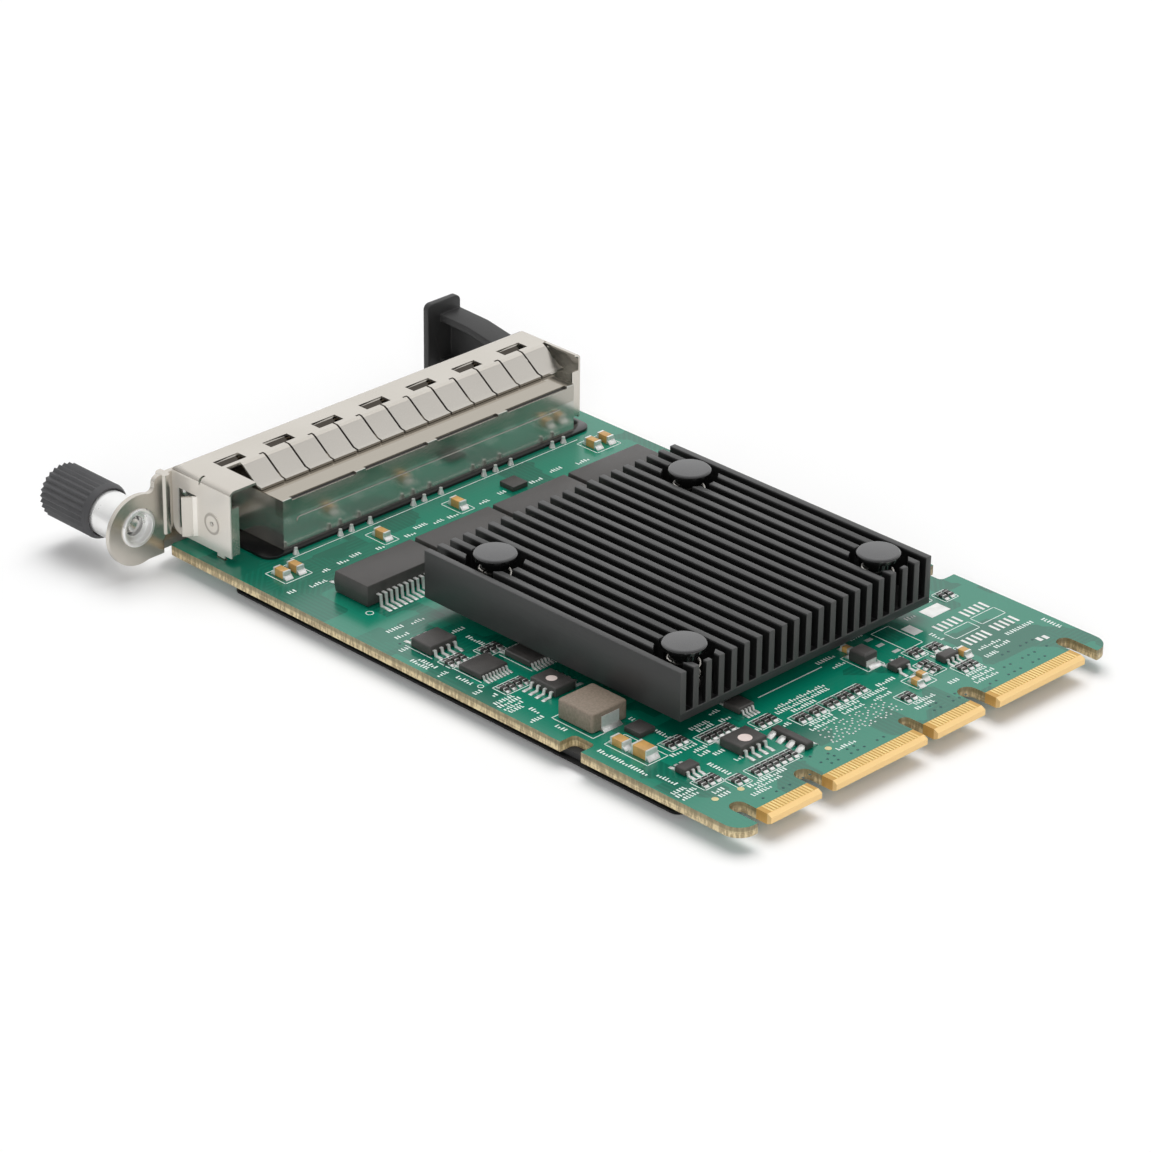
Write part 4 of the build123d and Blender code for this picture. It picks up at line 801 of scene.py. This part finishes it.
# The middle of the inductor and of the diode, and the reach and width of their metal ends.
strap_parts = ((30.2, 79.9, 3.52, 3.3), (-8.6, 94.4, 2.0, 2.0))
resistor_reach = 0.8
module_leads = 12
module_lead_pitch = 1.02
module_lead_reach = 6.1
module_pitch = 15.6
first_module = (23.2, 31.4)
quarter = {(0, 1): 0, (0, -1): pi, (1, 0): -pi / 2, (-1, 0): pi / 2}


def fillet(width, cover, height, reach):
    """Model one solder fillet at the origin: it covers a part's end and slopes down along +Y."""
    piece = plate("fillet", -width / 2 * mm, width / 2 * mm, -cover * mm, reach * mm, 0, height * mm)
    bpy.ops.object.mode_set(mode="EDIT")
    bpy.ops.mesh.select_all(action="DESELECT")
    bpy.ops.object.mode_set(mode="OBJECT")
    for vertex in piece.data.vertices:
        vertex.select = vertex.co.y > 0 and vertex.co.z > 0
    bpy.ops.object.mode_set(mode="EDIT")
    bpy.ops.transform.translate(value=(0, 0, (0.06 - height) * mm))
    bpy.ops.object.mode_set(mode="OBJECT")
    softening = piece.modifiers.new("softening", "BEVEL")
    softening.width = min(0.08, height * 0.3) * mm
    softening.segments = 1
    bpy.ops.object.modifier_apply(modifier="softening")
    bpy.ops.object.shade_smooth_by_angle(angle=radians(60))
    return piece


def both_ends(x, y, reach, run="y"):
    """Places at a part's two ends, each turned so that its fillet slopes away from the part."""
    if run == "y":
        return [(x * mm, board_front + (y + face * reach) * mm, board_top, quarter[(0, face)])
                for face in (1, -1)]
    return [((x + face * reach) * mm, board_front + y * mm, board_top, quarter[(face, 0)])
            for face in (1, -1)]


joints = []
places = []
for x, y, count, run in resistor_rows:
    for index in range(count):
        offset = (index - (count - 1) / 2) * resistor_pitch
        if run == "x":
            places.extend(both_ends(x + offset, y, resistor_reach))
        else:
            places.extend(both_ends(x, y + offset, resistor_reach, "x"))
joints.extend(copies_at(fillet(width=0.84, cover=0.46, height=0.50, reach=0.40), places))
for x, y, sx, sy, height in chip_capacitors:
    wedge = fillet(width=sx + 0.2, cover=0.1, height=height * 0.55, reach=0.55)
    joints.extend(copies_at(wedge, both_ends(x, y, sy / 2)))
for x, y, sx, sy, count, pitch, reach, width, side in lead_chips:
    places = []
    for index in range(count):
        offset = (index - (count - 1) / 2) * pitch
        if side == "y":
            places.extend(both_ends(x + offset, y, sy / 2 + reach))
        else:
            places.extend(both_ends(x, y + offset, sx / 2 + reach, "x"))
    if reach < 1:
        wedge = fillet(width=width + 0.35, cover=0.5, height=0.62, reach=0.5)
    else:
        wedge = fillet(width=width + 0.16, cover=0.45, height=0.12, reach=0.35)
    joints.extend(copies_at(wedge, places))
places = []
for module in range(4):
    for index in range(module_leads):
        x = first_module[0] - module * module_pitch + (index - (module_leads - 1) / 2) * module_lead_pitch
        places.extend(both_ends(x, first_module[1], module_lead_reach))
joints.extend(copies_at(fillet(width=0.62, cover=0.55, height=0.12, reach=0.40), places))
for x, y, reach, width in strap_parts:
    wedge = fillet(width=width + 0.3, cover=0.02, height=0.5, reach=0.7)
    joints.extend(copies_at(wedge, both_ends(x, y, reach)))
solder_joints = join("solder_joints", joints)
paint(solder_joints, solder_metal)
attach(solder_joints, "card")


# Faceplate and spring hood: thin steel, punched and folded, nickel plated to a soft shine. Two rivets
# and the pull tab's screws hold them together. The hood's colour carries painted light: painted shade in
# the windows and on the fingers, a painted highlight on the side wall and a painted shade ring round the
# dimple.
window_shade_tone = (0.045, 0.037, 0.028, 1)
finger_shade_tone = (0.47, 0.45, 0.415, 1)
side_wall_highlight_tone = (0.90, 0.86, 0.80, 1)
dimple_shade_tone = (0.36, 0.335, 0.30, 1)
dimple_middle = (35.55, -108.1, 5.785)
nickel = surface_material(
    "soft_nickel", (0.64, 0.605, 0.55, 1), (0.61, 0.575, 0.52, 1), 0.24, metal=0.9, grain=900.0,
    bump=0.004, patches=70.0, spread=0.03)


def sheet_copy(node, name, smooth=25):
    """Stand a merged copy of a sheet-metal node in its place: bends smooth, cut edges crisp."""
    piece = stand_in(node, name)
    bpy.ops.mesh.dissolve_limited(angle_limit=radians(0.5))
    bpy.ops.object.mode_set(mode="OBJECT")
    bpy.ops.object.shade_smooth_by_angle(angle=radians(smooth))
    evening = piece.modifiers.new("evening", "WEIGHTED_NORMAL")
    evening.keep_sharp = True
    evening.weight = 100
    bpy.ops.object.modifier_apply(modifier="evening")
    return piece


faceplate = sheet_copy("faceplate", "folded_faceplate")
paint(faceplate, nickel)
hood = sheet_copy("emi_hood", "spring_hood")
hood_nickel = nickel.copy()
hood_nickel.name = "hood_nickel"
hood_tree = hood_nickel.node_tree
# Painted shade in the windows and on the fingers, a painted highlight on the side wall and a painted shade
# ring round the dimple.
windows = inside_box(hood_tree, ((-34.0, 34.0), (-114.9, -111.9), (9.9, 11.82)), 0.93)
tint_where(hood_nickel, windows, window_shade_tone)
fingers = inside_box(hood_tree, ((-34.6, 28.4), (-110.4, -105.0), (9.3, 11.95)), 0.6)
tint_where(hood_nickel, fingers, finger_shade_tone)
near_wall = inside_box(hood_tree, ((35.3, 36.0), (-120, -100), (1.0, 11.5)))
tint_where(hood_nickel, near_wall, side_wall_highlight_tone)
from_dimple = add_node(hood_tree, "ShaderNodeVectorMath", operation="DISTANCE")
hood_tree.links.new(object_points(hood_tree), from_dimple.inputs[0])
from_dimple.inputs[1].default_value = dimple_middle
on_slope = math_node(
    hood_tree, "MULTIPLY", ramp(hood_tree, from_dimple.outputs["Value"], 1.15, 1.40),
    ramp(hood_tree, from_dimple.outputs["Value"], 1.75, 1.60))
tint_where(hood_nickel, math_node(hood_tree, "MULTIPLY", on_slope, 0.7), dimple_shade_tone)
duller_wall = math_node(hood_tree, "MULTIPLY_ADD", near_wall, -0.55, 0.9)
hood_tree.links.new(duller_wall, hood_tree.nodes["Principled BSDF"].inputs["Metallic"])
paint(hood, hood_nickel)
bright_steel = surface_material(
    "bright_steel", (0.82, 0.81, 0.79, 1), (0.74, 0.73, 0.71, 1), 0.20, metal=0.9, grain=8000.0, bump=0.03)
for node in ("bracket_rivets", "pull_tab_screws"):
    paint(cad[node], bright_steel)


# Port block: glossy black moulding in a mirror-bright nickel shield, sunk into the board, with gold
# wires and small frosted lenses. The shield's colour carries a painted reflection of the hood along its top,
# painted shade beside the fingers, a painted reflection on its upper rear face and painted shade at its near
# end.
shield_top_reflection_tone = (0.42, 0.385, 0.325, 1)
beside_fingers_shade_tone = (0.27, 0.225, 0.17, 1)
upper_rear_reflection_tone = (0.26, 0.23, 0.18, 1)
near_end_shade_tone = (0.012, 0.010, 0.008, 1)
mirror = surface_material(
    "mirror_nickel", (0.60, 0.59, 0.55, 1), (0.54, 0.53, 0.49, 1), 0.18, metal=0.85, grain=1200.0,
    bump=0.004, patches=40.0, spread=0.015)
mirror_tree = mirror.node_tree
# Painted reflection of the hood on the top strip, painted shade beside the fingers, a painted reflection on
# the upper rear face and painted shade at the near end.
top_strip = inside_box(mirror_tree, ((-40.0, 40.0), (-130.0, -101.5), (9.05, 9.4)))
near_end = inside_box(mirror_tree, ((29.2, 31.0), (-130.0, -101.6), (0.0, 9.0)))
tint_where(mirror, top_strip, shield_top_reflection_tone)
beside_fingers = inside_box(mirror_tree, ((-29.0, 29.0), (-130.0, -104.9), (9.05, 9.4)), 0.6)
tint_where(mirror, beside_fingers, beside_fingers_shade_tone)
upper_rear = inside_box(mirror_tree, ((-40.0, 40.0), (-103.0, -100.0), (6.4, 9.05)), 0.45)
tint_where(mirror, upper_rear, upper_rear_reflection_tone)
tint_where(mirror, near_end, near_end_shade_tone)
polish = mirror_tree.nodes["Principled BSDF"].inputs["Roughness"]
mirror_tree.links.new(
    math_node(mirror_tree, "MULTIPLY_ADD", top_strip, -0.09, polish.links[0].from_socket), polish)
shield = sheet_copy("jack_shield", "port_shield")
paint(shield, mirror)
gloss_black = surface_material(
    "gloss_moulding", (0.006, 0.006, 0.0065, 1), (0.010, 0.010, 0.011, 1), 0.16, grain=5000.0, bump=0.04)
housing = softened_copy("jack_housing", "port_housing", 0.12 * mm)
paint(housing, gloss_black)
paint(cad["jack_wires"], gold_material)
lens_material = surface_material(
    "frosted_lens", (0.62, 0.68, 0.52, 1), (0.55, 0.62, 0.46, 1), 0.35, grain=4000.0, bump=0.05)
paint(cad["jack_leds"], lens_material)


# Pull tab: moulded in one piece of black plastic with a fine matt finish, and held by two screws
# through its foot.
matt_black = surface_material(
    "matt_moulding", (0.026, 0.026, 0.026, 1), (0.034, 0.034, 0.034, 1), 0.45, grain=7000.0, bump=0.25,
    specular=0.4)
tab = softened_copy("pull_tab", "pull_tab_moulding", 0.2 * mm, segments=3)
paint(tab, matt_black)


# Captive thumbscrew: a ribbed plastic knob pressed on a steel screw, sprung in a turned aluminium
# sleeve that is swaged into the faceplate's ear.
knob_grey = surface_material(
    "knob_moulding", (0.080, 0.080, 0.083, 1), (0.064, 0.064, 0.067, 1), 0.5, grain=6000.0, bump=0.2,
    specular=0.35)
knob = softened_copy("thumbscrew_knob", "ribbed_knob", 0.14 * mm, segments=3, angle=25, smooth=30)
paint(knob, knob_grey)
turned_aluminium = surface_material(
    "turned_aluminium", (0.92, 0.92, 0.91, 1), (0.86, 0.86, 0.85, 1), 0.30, metal=0.7, grain=1300.0,
    stretch=(0.1, 1, 0.1), bump=0.05, patches=200.0)
sleeve = softened_copy("screw_sleeve", "turned_sleeve", 0.10 * mm, segments=3, smooth=40)
paint(sleeve, turned_aluminium)
screw = softened_copy("captive_screw", "captive_screw_body", 0.08 * mm, smooth=40)
paint(screw, bright_steel)
paint(cad["spring_washer"], bright_steel)
screw_coil_radius = 2.09 * mm
screw_coil_wire = 0.45 * mm
screw_coil_turns = 5
screw_spring_low, screw_spring_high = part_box("screw_spring")
screw_coil_length = screw_spring_high.y - screw_spring_low.y
screw_coil = coil("screw_coil", screw_coil_wire, screw_coil_radius, screw_coil_length, screw_coil_turns)
middle = (screw_spring_low + screw_spring_high) / 2
screw_coil.data.transform(
    Matrix.Translation((middle.x, screw_spring_low.y, middle.z)) @ Matrix.Rotation(-pi / 2, 4, "X"))
paint(screw_coil, spring_steel)
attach(screw_coil, "card")
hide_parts("screw_spring")
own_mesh(screw_coil)


# Bottom insulator: a black plastic sheet cut to the board's outline, stuck below it on strips of
# adhesive foam.
insulator = softened_copy("bottom_insulator", "insulator_sheet", 0.08 * mm)
sheet_black = surface_material(
    "black_sheet", (0.003, 0.003, 0.003, 1), (0.005, 0.005, 0.005, 1), 0.6, grain=4000.0, bump=0.2,
    specular=0.2)
paint(insulator, sheet_black)
foam = surface_material(
    "adhesive_foam", (0.05, 0.05, 0.05, 1), (0.035, 0.035, 0.035, 1), 0.9, grain=6000.0, bump=0.5)
paint(cad["insulator_strips"], foam)


# Studio: a pale floor under the card, a white world that is brighter to one side, two soft lamps and
# the photograph's camera.
floor_size = 6
floor_level = cad_box[0][2]
card_middle = (0, -0.06, 0)
floor_seen_glow = 0.05
bright_side = Vector((-0.64, -0.64, 0.43))
deselect()
bpy.ops.mesh.primitive_plane_add(size=floor_size, location=(card_middle[0], card_middle[1], floor_level))
floor = bpy.context.object
floor.name = "floor"
bpy.ops.object.transform_apply(location=True)
floor_material, tree, shader = new_material("pale_floor")
shader.inputs["Base Color"].default_value = (0.93, 0.93, 0.93, 1)
shader.inputs["Roughness"].default_value = 0.9
shader.inputs["Specular IOR Level"].default_value = 0.1
rays = add_node(tree, "ShaderNodeLightPath")
seen = math_node(tree, "MAXIMUM", rays.outputs["Is Camera Ray"], rays.outputs["Is Glossy Ray"])
shader.inputs["Emission Color"].default_value = (1, 1, 1, 1)
tree.links.new(math_node(tree, "MULTIPLY", seen, floor_seen_glow), shader.inputs["Emission Strength"])
paint(floor, floor_material)

world = bpy.data.worlds.new("studio")
bpy.context.scene.world = world
world.use_nodes = True
tree = world.node_tree
background = tree.nodes["Background"]
background.inputs["Color"].default_value = (1, 1, 1, 1)
rays = add_node(tree, "ShaderNodeLightPath")
direction = add_node(tree, "ShaderNodeTexCoord")
toward = add_node(tree, "ShaderNodeVectorMath", operation="DOT_PRODUCT")
toward.inputs[1].default_value = bright_side
tree.links.new(direction.outputs["Generated"], toward.inputs[0])
sky = math_node(tree, "MULTIPLY_ADD", ramp(tree, toward.outputs["Value"], -0.3, 0.9), 0.55, 0.5)
mirrored = math_node(tree, "MAXIMUM", rays.outputs["Is Glossy Ray"], rays.outputs["Is Transmission Ray"])
level = math_node(tree, "MULTIPLY", sky, math_node(tree, "MULTIPLY_ADD", mirrored, 0.58, 0.42))
strength = math_node(tree, "MAXIMUM", rays.outputs["Is Camera Ray"], level)
tree.links.new(strength, background.inputs["Strength"])


def softbox(name, place, aim, size, watts):
    """Hang a square area lamp at a place, aimed at a point."""
    deselect()
    bpy.ops.object.light_add(type="AREA", location=place)
    lamp = bpy.context.object
    lamp.name = name
    lamp.data.shape = "SQUARE"
    lamp.data.size = size
    lamp.data.energy = watts
    lamp.rotation_euler = (Vector(aim) - Vector(place)).to_track_quat("-Z", "Y").to_euler()
    lamp.visible_glossy = False


softbox("back_softbox", place=(-0.23, -0.27, 0.93), aim=card_middle, size=0.8, watts=7.3)
softbox("front_softbox", place=(0.62, 0.50, 0.30), aim=card_middle, size=0.5, watts=3.3)

camera_azimuth = radians(135.16)
camera_elevation = radians(27.15)
camera_roll = radians(0.55)
camera_target = Vector((2.07 * mm, board_front + 48.22 * mm, board_top))
camera_distance = 650.52 * mm
bpy.ops.object.camera_add()
camera = bpy.context.object
camera.name = "photo_camera"
camera.data.sensor_width = 36.0
camera.data.lens = 4500 / 1152 * 36.0
camera.data.clip_start = 0.01
back = Vector((sin(camera_azimuth) * cos(camera_elevation), -cos(camera_azimuth) * cos(camera_elevation),
               sin(camera_elevation)))
right = Vector((cos(camera_azimuth), sin(camera_azimuth), 0))
up = back.cross(right)
tilted_right = cos(camera_roll) * right + sin(camera_roll) * up
tilted_up = cos(camera_roll) * up - sin(camera_roll) * right
camera.matrix_world = Matrix.Translation(camera_target + camera_distance * back) @ Matrix(
    (tilted_right, tilted_up, back)).transposed().to_4x4()
bpy.context.scene.camera = camera
bpy.context.scene.view_settings.view_transform = "Standard"
